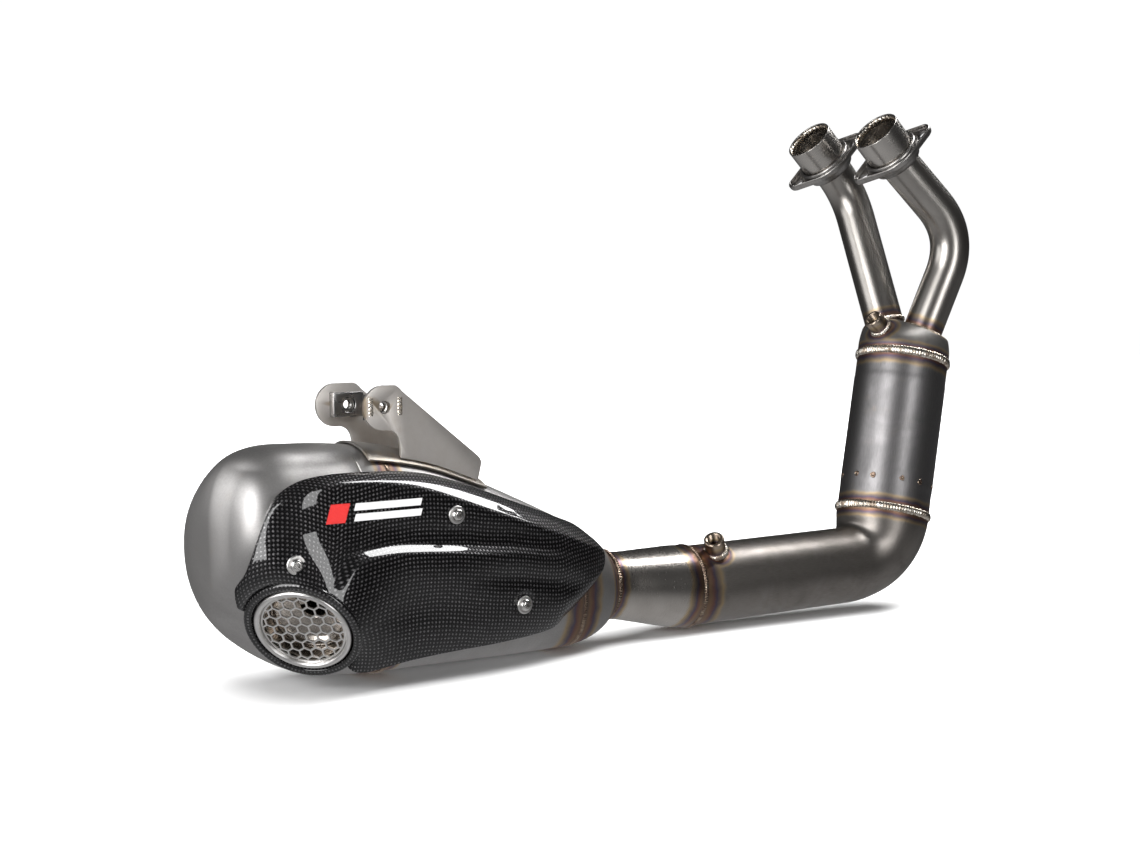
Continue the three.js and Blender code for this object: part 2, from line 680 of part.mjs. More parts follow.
const upInOutlet = at(0, 0, 1).addScaledVector(outletAxis, -outletAxis.z).normalize();
const boltPlane = along(outletCentre, outletAxis, -INSERT_BOLT.depth);
const boltLow = along(boltPlane, upInOutlet, INSERT_BOLT.from);
const boltHigh = along(boltPlane, upInOutlet, coneRim - GAP);
add('insert_bolt', rod(INSERT_BOLT.radius, boltLow, boltHigh, 6), 'bright');

// ---------------------------------------------------------------- heat shield and its fasteners
function shieldGrid(depth) {
  const last = SHIELD_STATIONS.length - 1;
  return SHIELD_STATIONS.map(([x, y, bottom, top], i) => {
    const [before, after] = [SHIELD_STATIONS[Math.max(i - 1, 0)], SHIELD_STATIONS[Math.min(i + 1, last)]];
    const inward = at(before[1] - after[1], after[0] - before[0], 0).normalize();
    return Array.from({ length: SHIELD_ROWS + 1 }, (_, row) => {
      const v = row / SHIELD_ROWS;
      const nearTop = Math.max(0, 1 - (1 - v) / TURN_IN.share);
      const nearBottom = Math.max(0, 1 - v / TURN_IN.share);
      const turnIn = TURN_IN.top * nearTop ** 2 + TURN_IN.bottom * nearBottom ** 2;
      return along(at(x, y, THREE.MathUtils.lerp(bottom, top, v)), inward, depth + turnIn);
    });
  });
}

const shieldInner = shieldGrid(SHIELD_THICKNESS);
const shieldSheet = loft(shieldGrid(0).map((column, i) => [...column, ...shieldInner[i].reverse()]), 'strip');
const lipInside = LIP.outer - SHIELD_THICKNESS;
const lipProfile = [
  [LIP.inner, -3],
  [LIP.inner + 1, 0],
  [LIP.outer - 1.5, 0],
  [LIP.outer, -2],
  [LIP.outer, -LIP.depth],
  [lipInside, -LIP.depth],
  [lipInside, -3],
];
const lipBore = rod(lipInside, along(outletCentre, outletAxis, -60), along(outletCentre, outletAxis, 60), 30);
const shieldSkin = shieldSheet.subtract(lipBore).subtract(beyondFacet(0));
let shield = shieldSkin.add(outletTurned(lipProfile, 30)).subtract(bodySolid(SHIELD_CLEARANCE));

Object.entries(SHIELD_BOLTS).forEach(([name, { spot, axis }]) => {
  const { washer, washerThickness, head, headHeight, shank, shankDepth, boss, bossDrop, lift } = SHIELD_BOLT;
  const face = vec(spot);
  const outward = vec(axis).normalize();
  const washerTop = lift + washerThickness;
  const headBase = washerTop + GAP;
  shield = shield.subtract(rod(shank + GAP, along(face, outward, 6), along(face, outward, -8), 14));
  const ringProfile = [[shank + GAP, lift], [washer, lift], [washer, washerTop], [shank + GAP, washerTop]];
  add(`shield_washer_${name}`, turned(ringProfile, face, outward, 20), 'bright');
  const boltProfile = [
    [0, -shankDepth],
    [shank, -shankDepth],
    [shank, headBase],
    [head, headBase],
    [head, headBase + 1],
    [head - 1.5, headBase + headHeight],
    [0, headBase + headHeight],
  ];
  const top = along(face, outward, headBase + headHeight + 1);
  const socket = rod(SHIELD_BOLT.socket, along(top, outward, -3), top, 6);
  add(`shield_bolt_${name}`, turned(boltProfile, face, outward, 16).subtract(socket), 'bright');
  const bossTop = -SHIELD_THICKNESS - bossDrop;
  const bossFoot = -SHIELD_BOLT.bossDepth;
  const bossProfile = [[shank + GAP, bossFoot], [boss, bossFoot], [boss, bossTop], [shank + GAP, bossTop]];
  add(`shield_boss_${name}`, turned(bossProfile, face, outward, 16).subtract(bodySolid(GAP)), 'brushed');
});
add('heat_shield', shield, 'carbon');

// ---------------------------------------------------------------- rear hanger
// side plate drawn round its bolt hole: X forward, Y up; reach moves its round end back along the bike
function hangerOutline(reach) {
  const { endRadius, hole } = HANGER;
  const outline = new THREE.Shape();
  outline.moveTo(14 - reach, -60);
  outline.lineTo(14 - reach, -32);
  outline.quadraticCurveTo(13 - reach, -19, 3 - reach, -18);
  outline.absarc(-1 - reach, -0.5, endRadius, 1.56 * Math.PI, Math.PI / 2, true);
  outline.lineTo(9, 17);
  outline.quadraticCurveTo(12, 16.5, 16, 12);
  outline.lineTo(85, -42);
  outline.quadraticCurveTo(90, -46, 88.5, -51);
  outline.lineTo(84, -68);
  outline.closePath();
  const bore = new THREE.Path();
  bore.absarc(0, 0, hole, 0, 2 * Math.PI);
  outline.holes.push(bore);
  return outline;
}

// stands a shape drawn in X and Z upright between two values of Y
function upright(shape, fromY, toY, curveSegments = 6) {
  const settings = { depth: toY - fromY, bevelEnabled: false, curveSegments };
  const geometry = new THREE.ExtrudeGeometry(shape, settings);
  geometry.rotateX(Math.PI / 2);
  return solid(geometry.translate(HANGER.x, toY, HANGER.z));
}

const aboveSaddle = bodySolid(SADDLE.lift + SADDLE.thickness + GAP);
const saddleBox = box([SADDLE.rear, SADDLE.right, 120], [SADDLE.front, SADDLE.left, 220]);
const saddleSkin = bodySolid(SADDLE.lift + SADDLE.thickness).subtract(bodySolid(SADDLE.lift));
add('hanger_saddle', saddleSkin.intersect(saddleBox), 'plate');

const [webX, webZ] = WEB.start;
const slope = new THREE.Vector2(...WEB.slope).normalize();
const webDown = new THREE.Vector2(slope.y, -slope.x).multiplyScalar(WEB.thickness);
const webOutline = new THREE.Shape([
  new THREE.Vector2(webX, webZ),
  new THREE.Vector2(webX + slope.x * WEB.length, webZ + slope.y * WEB.length),
  new THREE.Vector2(webX + slope.x * WEB.length + webDown.x, webZ + slope.y * WEB.length + webDown.y),
  new THREE.Vector2(webX + webDown.x, webZ + webDown.y),
]);
const nearFace = HANGER.nearY + PLATE / 2;
const farFace = HANGER.farY - PLATE / 2;
add('hanger_web', upright(webOutline, nearFace + GAP, farFace - GAP), 'plate');

function hangerSide(name, y, reach, inner, towards) {
  const plate = upright(hangerOutline(reach), y - PLATE / 2, y + PLATE / 2);
  add(`hanger_plate_${name}`, plate.subtract(aboveSaddle), 'plate');

  const { width, height, depth, sheet, opening } = CAGE;
  const hand = (value) => inner + towards * value;
  const half = width / 2;
  const corners = [
    [-half, GAP], [-half, depth], [half, depth], [half, GAP],
    [half - sheet, GAP], [half - sheet, depth - sheet], [sheet - half, depth - sheet], [sheet - half, GAP],
  ];
  const strap = new THREE.Shape(corners.map(([x, reachOut]) => new THREE.Vector2(x, hand(reachOut))));
  const strapGeometry = new THREE.ExtrudeGeometry(strap, { depth: height, bevelEnabled: false });
  const cage = solid(strapGeometry.translate(HANGER.x, 0, HANGER.z - height / 2));
  const axisPoint = (value) => at(HANGER.x, hand(value), HANGER.z);
  const cageHole = rod(opening, axisPoint(depth - sheet - 1), axisPoint(depth + 1), 18);
  add(`nut_cage_${name}`, cage.subtract(cageHole), 'bright');

  const middle = (GAP + depth - sheet) / 2;
  const [low, high] = [hand(middle) - NUT.thickness / 2, hand(middle) + NUT.thickness / 2];
  const halves = [NUT.width / 2, NUT.height / 2];
  const corner = (side, y) => [HANGER.x + side * halves[0], y, HANGER.z + side * halves[1]];
  const block = box(corner(-1, low), corner(1, high));
  const nutBore = rod(NUT.bore, axisPoint(-1), axisPoint(depth + 1), 18);
  add(`captive_nut_${name}`, block.subtract(nutBore), 'bright');
}

hangerSide('near', HANGER.nearY, 0, nearFace, 1);
hangerSide('far', HANGER.farY, HANGER.farReach, farFace, -1);

// ---------------------------------------------------------------- origin under the middle of the box
const bounds = new THREE.Box3().setFromObject(assembly);
const centre = bounds.getCenter(new THREE.Vector3());
assembly.position.set(-centre.x, -centre.y, -bounds.min.z);

export default assembly;
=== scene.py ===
import math
import random

import bmesh
import bpy
import numpy as np
from mathutils import Matrix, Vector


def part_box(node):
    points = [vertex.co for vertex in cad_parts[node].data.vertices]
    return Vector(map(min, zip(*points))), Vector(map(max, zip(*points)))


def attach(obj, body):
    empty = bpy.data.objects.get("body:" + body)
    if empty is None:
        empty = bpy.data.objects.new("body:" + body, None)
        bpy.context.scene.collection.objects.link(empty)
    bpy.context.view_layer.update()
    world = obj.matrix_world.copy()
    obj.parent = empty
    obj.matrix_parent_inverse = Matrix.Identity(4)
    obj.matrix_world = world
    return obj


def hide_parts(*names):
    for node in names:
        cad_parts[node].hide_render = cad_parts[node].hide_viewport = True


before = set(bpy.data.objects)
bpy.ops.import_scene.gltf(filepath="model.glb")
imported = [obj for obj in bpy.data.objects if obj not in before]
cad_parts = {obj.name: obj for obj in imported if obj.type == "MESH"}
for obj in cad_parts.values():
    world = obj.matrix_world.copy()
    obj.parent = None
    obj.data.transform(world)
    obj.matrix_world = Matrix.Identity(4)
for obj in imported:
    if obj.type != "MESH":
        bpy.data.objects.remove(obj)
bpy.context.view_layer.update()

# Shapes are worked out in millimetres in the frame that part.mjs is drawn in: X forward, Y left, Z up.
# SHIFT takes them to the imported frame, and comes from where the near captive nut was packed.
MM = 0.001
NUT_CENTRE = np.array([-576.3, -5.1, 214.0])
nut_low, nut_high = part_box("captive_nut_near")
SHIFT = (np.array(nut_low) + np.array(nut_high)) / 2 - NUT_CENTRE * MM
UP = np.array([0.0, 0.0, 1.0])


# ---------------------------------------------------------------- vectors and curves
def arr(*values):
    return np.array(values, float)


def unit(vector):
    return np.asarray(vector, float) / np.linalg.norm(vector)


def to_frame(points):
    return np.asarray(points, float) * MM + SHIFT


def design_points(data):
    """The points of a mesh, back in millimetres."""
    return (np.array([v.co for v in data.vertices]) - SHIFT) / MM


def basis(axis):
    """Two unit vectors square to axis, the first as near to up as it can be."""
    helper = UP if abs(unit(axis)[2]) < 0.95 else arr(1, 0, 0)
    across = unit(np.cross(helper, axis))
    return unit(np.cross(axis, across)), across


def smoothstep(value, low, high):
    t = np.clip((np.asarray(value, float) - low) / (high - low), 0, 1)
    return t * t * (3 - 2 * t)


def hermite(keys, values, at):
    """Smooth curve through values at rising keys, with gentle finite-difference slopes."""
    keys, values, at = np.asarray(keys, float), np.asarray(values, float), np.clip(at, keys[0], keys[-1])
    steps = np.diff(values, axis=0) / np.diff(keys)[:, None]
    slopes = np.vstack([steps[:1], (steps[1:] + steps[:-1]) / 2, steps[-1:]])
    i = np.clip(np.searchsorted(keys, at, side="right") - 1, 0, len(keys) - 2)
    h = (keys[i + 1] - keys[i])[:, None]
    t = ((at - keys[i]) / (keys[i + 1] - keys[i]))[:, None]
    return (
        values[i] * (2 * t**3 - 3 * t**2 + 1)
        + slopes[i] * h * (t**3 - 2 * t**2 + t)
        + values[i + 1] * (3 * t**2 - 2 * t**3)
        + slopes[i + 1] * h * (t**3 - t**2)
    )


def lengths_along(points):
    """Distance from the first point of a polyline to each of its points."""
    return np.concatenate([[0], np.cumsum(np.linalg.norm(np.diff(points, axis=0), axis=1))])


def resample(points, count, closed=False):
    """count points spaced evenly along a polyline."""
    points = np.asarray(points, float)
    if closed:
        points = np.vstack([points, points[:1]])
    lengths = lengths_along(points)
    stops = np.linspace(0, lengths[-1], count, endpoint=not closed)
    return np.stack([np.interp(stops, lengths, points[:, k]) for k in range(3)], axis=1)


def bent_path(start, corner, end, bend, count):
    into, out = unit(corner - start), unit(end - corner)
    reach = bend * math.tan(math.acos(into @ out) / 2)
    first, last = corner - into * reach, corner + out * reach
    t = np.linspace(0, 1, 60)[:, None]
    curve = first * (1 - t) ** 2 + corner * 2 * t * (1 - t) + last * t**2
    return resample(np.vstack([start, curve, end]), count)


def tangents(points, closed=False):
    if closed:
        step = np.roll(points, -1, axis=0) - np.roll(points, 1, axis=0)
    else:
        step = np.gradient(points, axis=0)
    return step / np.linalg.norm(step, axis=1)[:, None]


def rounded(profile, radius, steps=4):
    """A closed [radius, height] profile with its corners rounded."""
    profile = [arr(*p) for p in profile]
    result = []
    for i, corner in enumerate(profile):
        before, after = profile[i - 1] - corner, profile[(i + 1) % len(profile)] - corner
        reach = min(radius, 0.45 * np.linalg.norm(before), 0.45 * np.linalg.norm(after))
        a, b = corner + unit(before) * reach, corner + unit(after) * reach
        for t in np.linspace(0, 1, steps + 1):
            result.append(a * (1 - t) ** 2 + corner * 2 * t * (1 - t) + b * t**2)
    return np.array(result)


# ---------------------------------------------------------------- meshes
def piece(name, points, faces, finish, body="exhaust", stands_for=(), slot=None, uv=None, crease=38,
          heat=None, closed=True):
    """A mesh object that rides on a CAD body. uv has a pair per face corner, heat a value per point."""
    data = bpy.data.meshes.new(name)
    data.from_pydata(to_frame(points).tolist(), [], faces)
    if uv is not None:
        layer = data.uv_layers.new(name="UVMap")
        layer.data.foreach_set("uv", (np.asarray(uv, float) * MM).ravel())
    if heat is not None:
        set_heat(data, heat)
    data.validate()
    if closed:
        outward(data)
    data.materials.append(MATERIALS[finish])
    thing = bpy.data.objects.new(name, data)
    bpy.context.scene.collection.objects.link(thing)
    soften(thing, crease)
    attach(thing, body)
    if stands_for:
        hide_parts(*stands_for)
    return thing


def set_heat(data, heat):
    """Stores the heat that steels are tinted by. Cycles keeps the plain name heat for smoke."""
    attribute = data.attributes.new("weld_heat", "FLOAT", "POINT")
    attribute.data.foreach_set("value", np.asarray(heat, np.float32))


def outward(data):
    shell = bmesh.new()
    shell.from_mesh(data)
    bmesh.ops.recalc_face_normals(shell, faces=shell.faces)
    shell.to_mesh(data)
    shell.free()


def soften(thing, crease):
    thing.data.shade_smooth()
    thing.data.set_sharp_from_angle(angle=math.radians(crease))


def grid(points, wrap_rows=False, wrap_columns=True, uv=None):
    """Vertices, quads and corner UVs of a grid of points shaped rows, columns, 3."""
    rows, columns = points.shape[:2]
    faces, corners = [], []
    for r in range(rows if wrap_rows else rows - 1):
        for c in range(columns if wrap_columns else columns - 1):
            quad = [(r, c), (r, c + 1), (r + 1, c + 1), (r + 1, c)]
            faces.append([(i % rows) * columns + (j % columns) for i, j in quad])
            if uv is not None:
                corners.extend(uv[i, j] for i, j in quad)
    return points.reshape(-1, 3), faces, np.array(corners) if uv is not None else None


def turned(profile, base, axis, sides=96):
    """Grid of a closed [radius, height] profile turned about an axis, with UVs of arc and profile length."""
    axis = unit(axis)
    u, v = basis(axis)
    angle = np.linspace(0, 2 * math.pi, sides, endpoint=False)
    around = np.cos(angle)[:, None] * u + np.sin(angle)[:, None] * v
    profile = np.asarray(profile, float)
    points = np.asarray(base, float) + profile[:, 0, None, None] * around + profile[:, 1, None, None] * axis
    closed = np.vstack([profile, profile[:1]])
    run = lengths_along(closed)
    arc = np.linspace(0, 2 * math.pi * profile[:, 0].max(), sides + 1)
    uv = np.stack(np.meshgrid(run, arc, indexing="ij"), axis=2)[:, :, ::-1]
    return grid(points, wrap_rows=True, uv=uv)


def turned_piece(name, profile, base, axis, finish, sides=96, **settings):
    points, faces, uv = turned(profile, base, axis, sides)
    return piece(name, points, faces, finish, uv=uv, **settings)


def tube_grid(centres, radii, wall, sides=96, across=None):
    """Hollow tube along a path: outer skin out, inner skin back."""
    along = tangents(centres)
    across = unit(across) if across is not None else basis(along[0])[1]
    angle = np.linspace(0, 2 * math.pi, sides, endpoint=False)
    rings = []
    for centre, tangent, radius in zip(centres, along, radii):
        side = unit(across - tangent * (across @ tangent))
        inward = np.cross(tangent, side)
        ring = np.cos(angle)[:, None] * inward + np.sin(angle)[:, None] * side
        rings.append((centre, ring, radius))
        across = side
    outer = [c + ring * r for c, ring, r in rings]
    inner = [c + ring * (r - wall) for c, ring, r in rings]
    points = np.array(outer + inner[::-1])
    run = lengths_along(centres)
    rows = np.concatenate([run, run[::-1], run[:1]])
    arc = np.linspace(0, 2 * math.pi * radii[0], sides + 1)
    uv = np.stack(np.meshgrid(rows, arc, indexing="ij"), axis=2)[:, :, ::-1]
    return grid(points, wrap_rows=True, uv=uv)


def ring_points(centre, axis, radius, count):
    u, v = basis(axis)
    angle = np.linspace(0, 2 * math.pi, count, endpoint=False)[:, None]
    return np.asarray(centre) + radius * (np.cos(angle) * u + np.sin(angle) * v)


def bead(name, path, outward_at, half_width, crown, seed, pitch=2.1, rough=0.22, depth=0.8, closed=True,
         finish="weld", **settings):
    """A weld bead of overlapping crescents along a path, on a surface whose normals are outward_at."""
    rng = random.Random(seed)
    length = np.linalg.norm(np.diff(np.vstack([path, path[:1]]) if closed else path, axis=0), axis=1).sum()
    ripples = max(4, round(length / pitch))
    count = ripples * 7
    lean = np.asarray(outward_at, float)
    path, lean = resample(path, count, closed), resample(lean, count, closed)
    along = tangents(path, closed)
    lean = lean / np.linalg.norm(lean, axis=1)[:, None]
    side = np.cross(along, lean)
    jitter = np.array([rng.uniform(-1, 1) for _ in range(ripples + 1)])
    station = np.arange(count) / 7.0
    wobble = np.interp(station % ripples, np.arange(ripples + 1), np.append(jitter[:-1], jitter[0]))
    slow = np.sin(station * 0.31 + seed) * 0.5 + np.sin(station * 0.113 + seed * 2.1) * 0.5
    across = np.linspace(-1, 1, 13)
    rows = []
    for t in across:
        phase = 2 * math.pi * (station + 0.42 * t * t)
        scallop = np.clip(0.5 + 0.5 * np.cos(phase), 0, 1) ** 0.6
        height = crown * math.sqrt(max(0, 1 - t * t)) * (1 - rough + rough * 1.5 * scallop + 0.16 * wobble)
        width = half_width * t * (1 + 0.07 * wobble + 0.05 * slow + 0.05 * scallop)
        rows.append(path + side * width[:, None] + lean * (height - 0.25 * abs(t) ** 3)[:, None])
    for t in (0.9, -0.9):
        rows.append(path + side * (half_width * t) - lean * depth)
    points = np.array(rows).transpose(1, 0, 2)
    if closed:
        points, faces, _ = grid(points, wrap_rows=True)
    else:
        columns = points.shape[1]
        last = (points.shape[0] - 1) * columns
        points, faces, _ = grid(points)
        faces += [list(range(columns)), list(range(last, last + columns))]
    return piece(name, points, faces, finish, slot="weld", crease=60, **settings)


def bead_round(name, centre, axis, radius, half_width, crown, seed, lift=0.0, lean_axis=0.0, **settings):
    path = ring_points(centre, axis, radius + lift, 720)
    lean = path - np.asarray(centre)
    lean = lean / np.linalg.norm(lean, axis=1)[:, None] + unit(axis) * lean_axis
    return bead(name, path, lean, half_width, crown, seed, **settings)


def cut(thing, *cutters, mode="DIFFERENCE"):
    """Booleans thing with other objects, applies the result and deletes the cutters."""
    bpy.context.view_layer.update()
    for tool in cutters:
        step = thing.modifiers.new("cut", "BOOLEAN")
        step.operation = mode
        step.solver = "EXACT"
        step.object = tool
    bake(thing)
    for tool in cutters:
        bpy.data.objects.remove(tool, do_unlink=True)


def bake(thing):
    """Replaces an object's mesh by what its modifiers make of it."""
    view = bpy.context.evaluated_depsgraph_get()
    view.update()
    finished = thing.evaluated_get(view)
    made = bpy.data.meshes.new_from_object(finished, preserve_all_data_layers=True, depsgraph=view)
    thing.modifiers.clear()
    thing.data = made


def tool(points, faces):
    data = bpy.data.meshes.new("tool")
    data.from_pydata(to_frame(points).tolist(), [], faces)
    outward(data)
    thing = bpy.data.objects.new("tool", data)
    bpy.context.scene.collection.objects.link(thing)
    return thing


def rod_tool(start, end, radius, sides=96):
    start, end = np.asarray(start, float), np.asarray(end, float)
    a, b = ring_points(start, end - start, radius, sides), ring_points(end, end - start, radius, sides)
    faces = [[i, (i + 1) % sides, sides + (i + 1) % sides, sides + i] for i in range(sides)]
    faces += [list(range(sides)), list(range(sides, 2 * sides))]
    return tool(np.vstack([a, b]), faces)


def circle(radius, count, start=0.0, middle=(0, 0)):
    """Corners of a regular polygon, as a flat outline."""
    turns = np.linspace(start, start + 2 * math.pi, count, endpoint=False)
    return [(middle[0] + radius * math.cos(t), middle[1] + radius * math.sin(t)) for t in turns]


def prism(outline, low, high, place):
    """Points and faces of a flat outline drawn out from low to high. place turns a, b, depth into a point."""
    count = len(outline)
    points = [place(a, b, d) for d in (low, high) for a, b in outline]
    faces = [[i, (i + 1) % count, count + (i + 1) % count, count + i] for i in range(count)]
    faces += [list(range(count))[::-1], list(range(count, 2 * count))]
    return np.array(points), faces


def bevel(thing, width, segments=3, angle=30):
    step = thing.modifiers.new("bevel", "BEVEL")
    step.width = width * MM
    step.segments = segments
    step.limit_method = "ANGLE"
    step.angle_limit = math.radians(angle)
    step.harden_normals = False
    bake(thing)


# ---------------------------------------------------------------- shading
class Paint:
    """A few short words for building a node material."""

    def __init__(self, name, **constants):
        self.material = bpy.data.materials.new(name)
        self.material.use_nodes = True
        self.tree = self.material.node_tree
        self.shader = self.tree.nodes["Principled BSDF"]
        for socket, value in constants.items():
            self.shader.inputs[socket.replace("_", " ")].default_value = value
        MATERIALS[name] = self.material

    def node(self, kind, settings=None, **inputs):
        made = self.tree.nodes.new("ShaderNode" + kind)
        for key, value in (settings or {}).items():
            setattr(made, key, value)
        for key, value in inputs.items():
            self.put(made.inputs[key.replace("_", " ")], value)
        return made

    def put(self, socket, value):
        if isinstance(value, bpy.types.NodeSocket):
            self.tree.links.new(value, socket)
        elif isinstance(value, bpy.types.Node):
            self.tree.links.new(value.outputs[0], socket)
        else:
            socket.default_value = value

    def math(self, operation, a, b=0.0, c=0.0, clamp=False):
        made = self.tree.nodes.new("ShaderNodeMath")
        made.operation = operation
        made.use_clamp = clamp
        for i, value in enumerate((a, b, c)):
            self.put(made.inputs[i], value)
        return made.outputs[0]

    def range(self, value, low, high, to_low=0.0, to_high=1.0, smooth=True):
        settings = {"interpolation_type": "SMOOTHSTEP" if smooth else "LINEAR", "clamp": True}
        made = self.node("MapRange", settings, Value=value, From_Min=low, From_Max=high)
        made.inputs["To Min"].default_value = to_low
        made.inputs["To Max"].default_value = to_high
        return made.outputs[0]

    def mix(self, factor, a, b, blend="MIX"):
        made = self.tree.nodes.new("ShaderNodeMix")
        made.data_type = "RGBA"
        made.blend_type = blend
        made.clamp_factor = True
        self.put(made.inputs[0], factor)
        self.put(made.inputs[6], a)
        self.put(made.inputs[7], b)
        return made.outputs[2]

    def ramp(self, value, stops):
        made = self.tree.nodes.new("ShaderNodeValToRGB")
        elements = made.color_ramp.elements
        while len(elements) < len(stops):
            elements.new(0.5)
        for element, (place, color) in zip(elements, stops):
            element.position = place
            element.color = (*color, 1) if len(color) == 3 else color
        self.put(made.inputs[0], value)
        return made.outputs[0]

    def uv(self, scale=(1, 1, 1)):
        place = self.node("UVMap", {"uv_map": "UVMap"})
        made = self.node("Mapping", Vector=place)
        made.inputs["Scale"].default_value = scale
        return made.outputs[0]

    def spot(self, scale=(1, 1, 1)):
        place = self.node("TexCoord")
        made = self.node("Mapping", Vector=place.outputs["Object"])
        made.inputs["Scale"].default_value = scale
        return made.outputs[0]

    def noise(self, vector, scale, detail=3.0, rough=0.55, distort=0.0):
        made = self.node("TexNoise", Vector=vector, Scale=scale, Detail=detail, Roughness=rough)
        made.inputs["Distortion"].default_value = distort
        return made.outputs[0]

    def bump(self, height, distance, strength=1.0, normal=None):
        made = self.node("Bump", Height=height)
        made.inputs["Distance"].default_value = distance
        made.inputs["Strength"].default_value = strength
        if normal is not None:
            self.put(made.inputs["Normal"], normal)
        return made.outputs[0]

    def set(self, **inputs):
        for key, value in inputs.items():
            self.put(self.shader.inputs[key.replace("_", " ")], value)


MATERIALS = {}

# heat tint of stainless steel beside a weld, from the bead outwards
TINT = [
    (0.0, (0.15, 0.095, 0.07)),
    (0.16, (0.25, 0.135, 0.065)),
    (0.32, (0.17, 0.065, 0.05)),
    (0.44, (0.075, 0.055, 0.11)),
    (0.58, (0.21, 0.155, 0.12)),
    (0.75, (0.45, 0.33, 0.18)),
    (1.0, (0.41, 0.365, 0.31)),
]


def steel(name, dark, light, roughness, spread, grain=0.35, streak=(260.0, 14.0), mottle=38.0, tint=0.85,
          scratch=0.5):
    """Stainless steel: cloudy colour, fine grain stretched by streak, scuffs and heat tint."""
    paint = Paint(name, Metallic=1.0)
    cloud = paint.noise(paint.spot(), mottle, 4.0, 0.6, 0.6)
    fine = paint.noise(paint.spot(), 900.0, 2.0, 0.5)
    lines = paint.noise(paint.uv((streak[0], streak[1], 1)), 9.0, 3.0, 0.6)
    level = paint.math("ADD", paint.math("MULTIPLY", cloud, 0.62), paint.math("MULTIPLY", lines, 0.38))
    base = paint.ramp(level, [(0.36, dark), (0.64, light)])
    heat = paint.node("Attribute", {"attribute_name": "weld_heat"}).outputs["Fac"]
    patchy = paint.math("SUBTRACT", paint.noise(paint.spot(), 70.0, 3.0), 0.5)
    ragged = paint.math("MULTIPLY_ADD", patchy, 0.35, heat)
    shade = paint.ramp(paint.math("SUBTRACT", 1.0, ragged), TINT)
    amount = paint.math("MULTIPLY", paint.range(ragged, 0.02, 0.3), tint * 0.9)
    paint.set(Base_Color=paint.mix(amount, base, shade))
    rubbed = paint.noise(paint.uv((streak[0] * 1.7, streak[1] * 0.45, 1)), 5.0, 2.0)
    scuffs = paint.range(rubbed, 0.66, 0.72)
    rough = paint.math("ADD", paint.range(level, 0.3, 0.7, roughness + spread, roughness - spread),
                       paint.math("MULTIPLY", scuffs, 0.08))
    paint.set(Roughness=paint.math("MULTIPLY_ADD", amount, 0.06, rough))
    height = paint.math("ADD", paint.math("MULTIPLY", lines, grain), paint.math("MULTIPLY", fine, 0.4))
    height = paint.math("MULTIPLY_ADD", scuffs, -scratch, height)
    paint.set(Normal=paint.bump(height, 0.00003, 0.4))


steel("tube_steel", (0.34, 0.32, 0.30), (0.43, 0.41, 0.385), 0.30, 0.02, grain=0.2, mottle=22.0,
      scratch=0.1)
steel("pipe_steel", (0.20, 0.183, 0.168), (0.31, 0.287, 0.268), 0.40, 0.05, mottle=26.0)
steel("satin_steel", (0.30, 0.287, 0.275), (0.42, 0.405, 0.39), 0.44, 0.05, grain=0.15, mottle=22.0)
steel("cap_steel", (0.25, 0.24, 0.232), (0.35, 0.335, 0.32), 0.47, 0.05, grain=0.12)
steel("plate_steel", (0.78, 0.735, 0.69), (0.88, 0.84, 0.80), 0.47, 0.04, grain=0.2, mottle=55.0,
      streak=(90.0, 90.0))
steel("machined_steel", (0.60, 0.585, 0.565), (0.74, 0.725, 0.705), 0.26, 0.04, grain=0.1,
      streak=(20.0, 900.0), mottle=80.0, scratch=0.05)
steel("bronzed_steel", (0.40, 0.315, 0.245), (0.55, 0.46, 0.375), 0.27, 0.04, grain=0.1,
      streak=(20.0, 900.0), mottle=60.0, scratch=0.05)
steel("inner_steel", (0.30, 0.27, 0.24), (0.62, 0.57, 0.52), 0.26, 0.08, mottle=70.0)


def weld_metal(name, dark, middle, light, bright):
    paint = Paint(name, Metallic=1.0)
    cloud = paint.noise(paint.spot(), 170.0, 3.0, 0.6, 0.8)
    base = paint.ramp(cloud, [(0.30, dark), (0.44, middle), (0.58, light), (0.72, bright)])
    paint.set(Base_Color=base, Roughness=paint.range(cloud, 0.35, 0.65, 0.36, 0.2))
    paint.set(Normal=paint.bump(paint.noise(paint.spot(), 900.0, 2.0), 0.00004, 0.4))


# rear and front edge, bottom and top of each mark, and how far its ends lean back for each unit of height
RED_BLOCK = (-646, -630, 131.5, 146)
WHITE_BARS = ((-624, -566, 140, 145.5), (-624, -566, 132, 137.5))
MARK_LEAN = 0.3


def plain_marks(paint, weave_and_sheen):
    """A plain red block and two plain white bars under the lacquer, in place of lettering."""
    spots = paint.node("SeparateXYZ", Vector=paint.spot())
    x, z = spots.outputs[0], spots.outputs[2]
    lean = paint.math("MULTIPLY_ADD", z, -MARK_LEAN, x)
    edge = 0.00035

    def inside(value, low, high):
        enters = paint.range(value, low - edge, low + edge)
        leaves = paint.range(value, high - edge, high + edge)
        return paint.math("SUBTRACT", enters, leaves)

    def box(x_low, x_high, z_low, z_high):
        place = (arr(x_low, 0, z_low) * MM + SHIFT, arr(x_high, 0, z_high) * MM + SHIFT)
        slant = MARK_LEAN * (place[0][2] + place[1][2]) / 2
        wide = inside(lean, place[0][0] - slant, place[1][0] - slant)
        return paint.math("MULTIPLY", wide, inside(z, place[0][2], place[1][2]))

    red = box(*RED_BLOCK)
    white = paint.math("MAXIMUM", box(*WHITE_BARS[0]), box(*WHITE_BARS[1]))
    marked = paint.mix(red, weave_and_sheen, (0.62, 0.012, 0.01, 1))
    marked = paint.mix(white, marked, (0.74, 0.74, 0.74, 1))
    printed = paint.math("MAXIMUM", red, white)
    paint.set(Base_Color=marked, Metallic=paint.math("MULTIPLY_ADD", printed, -0.85, 0.85))


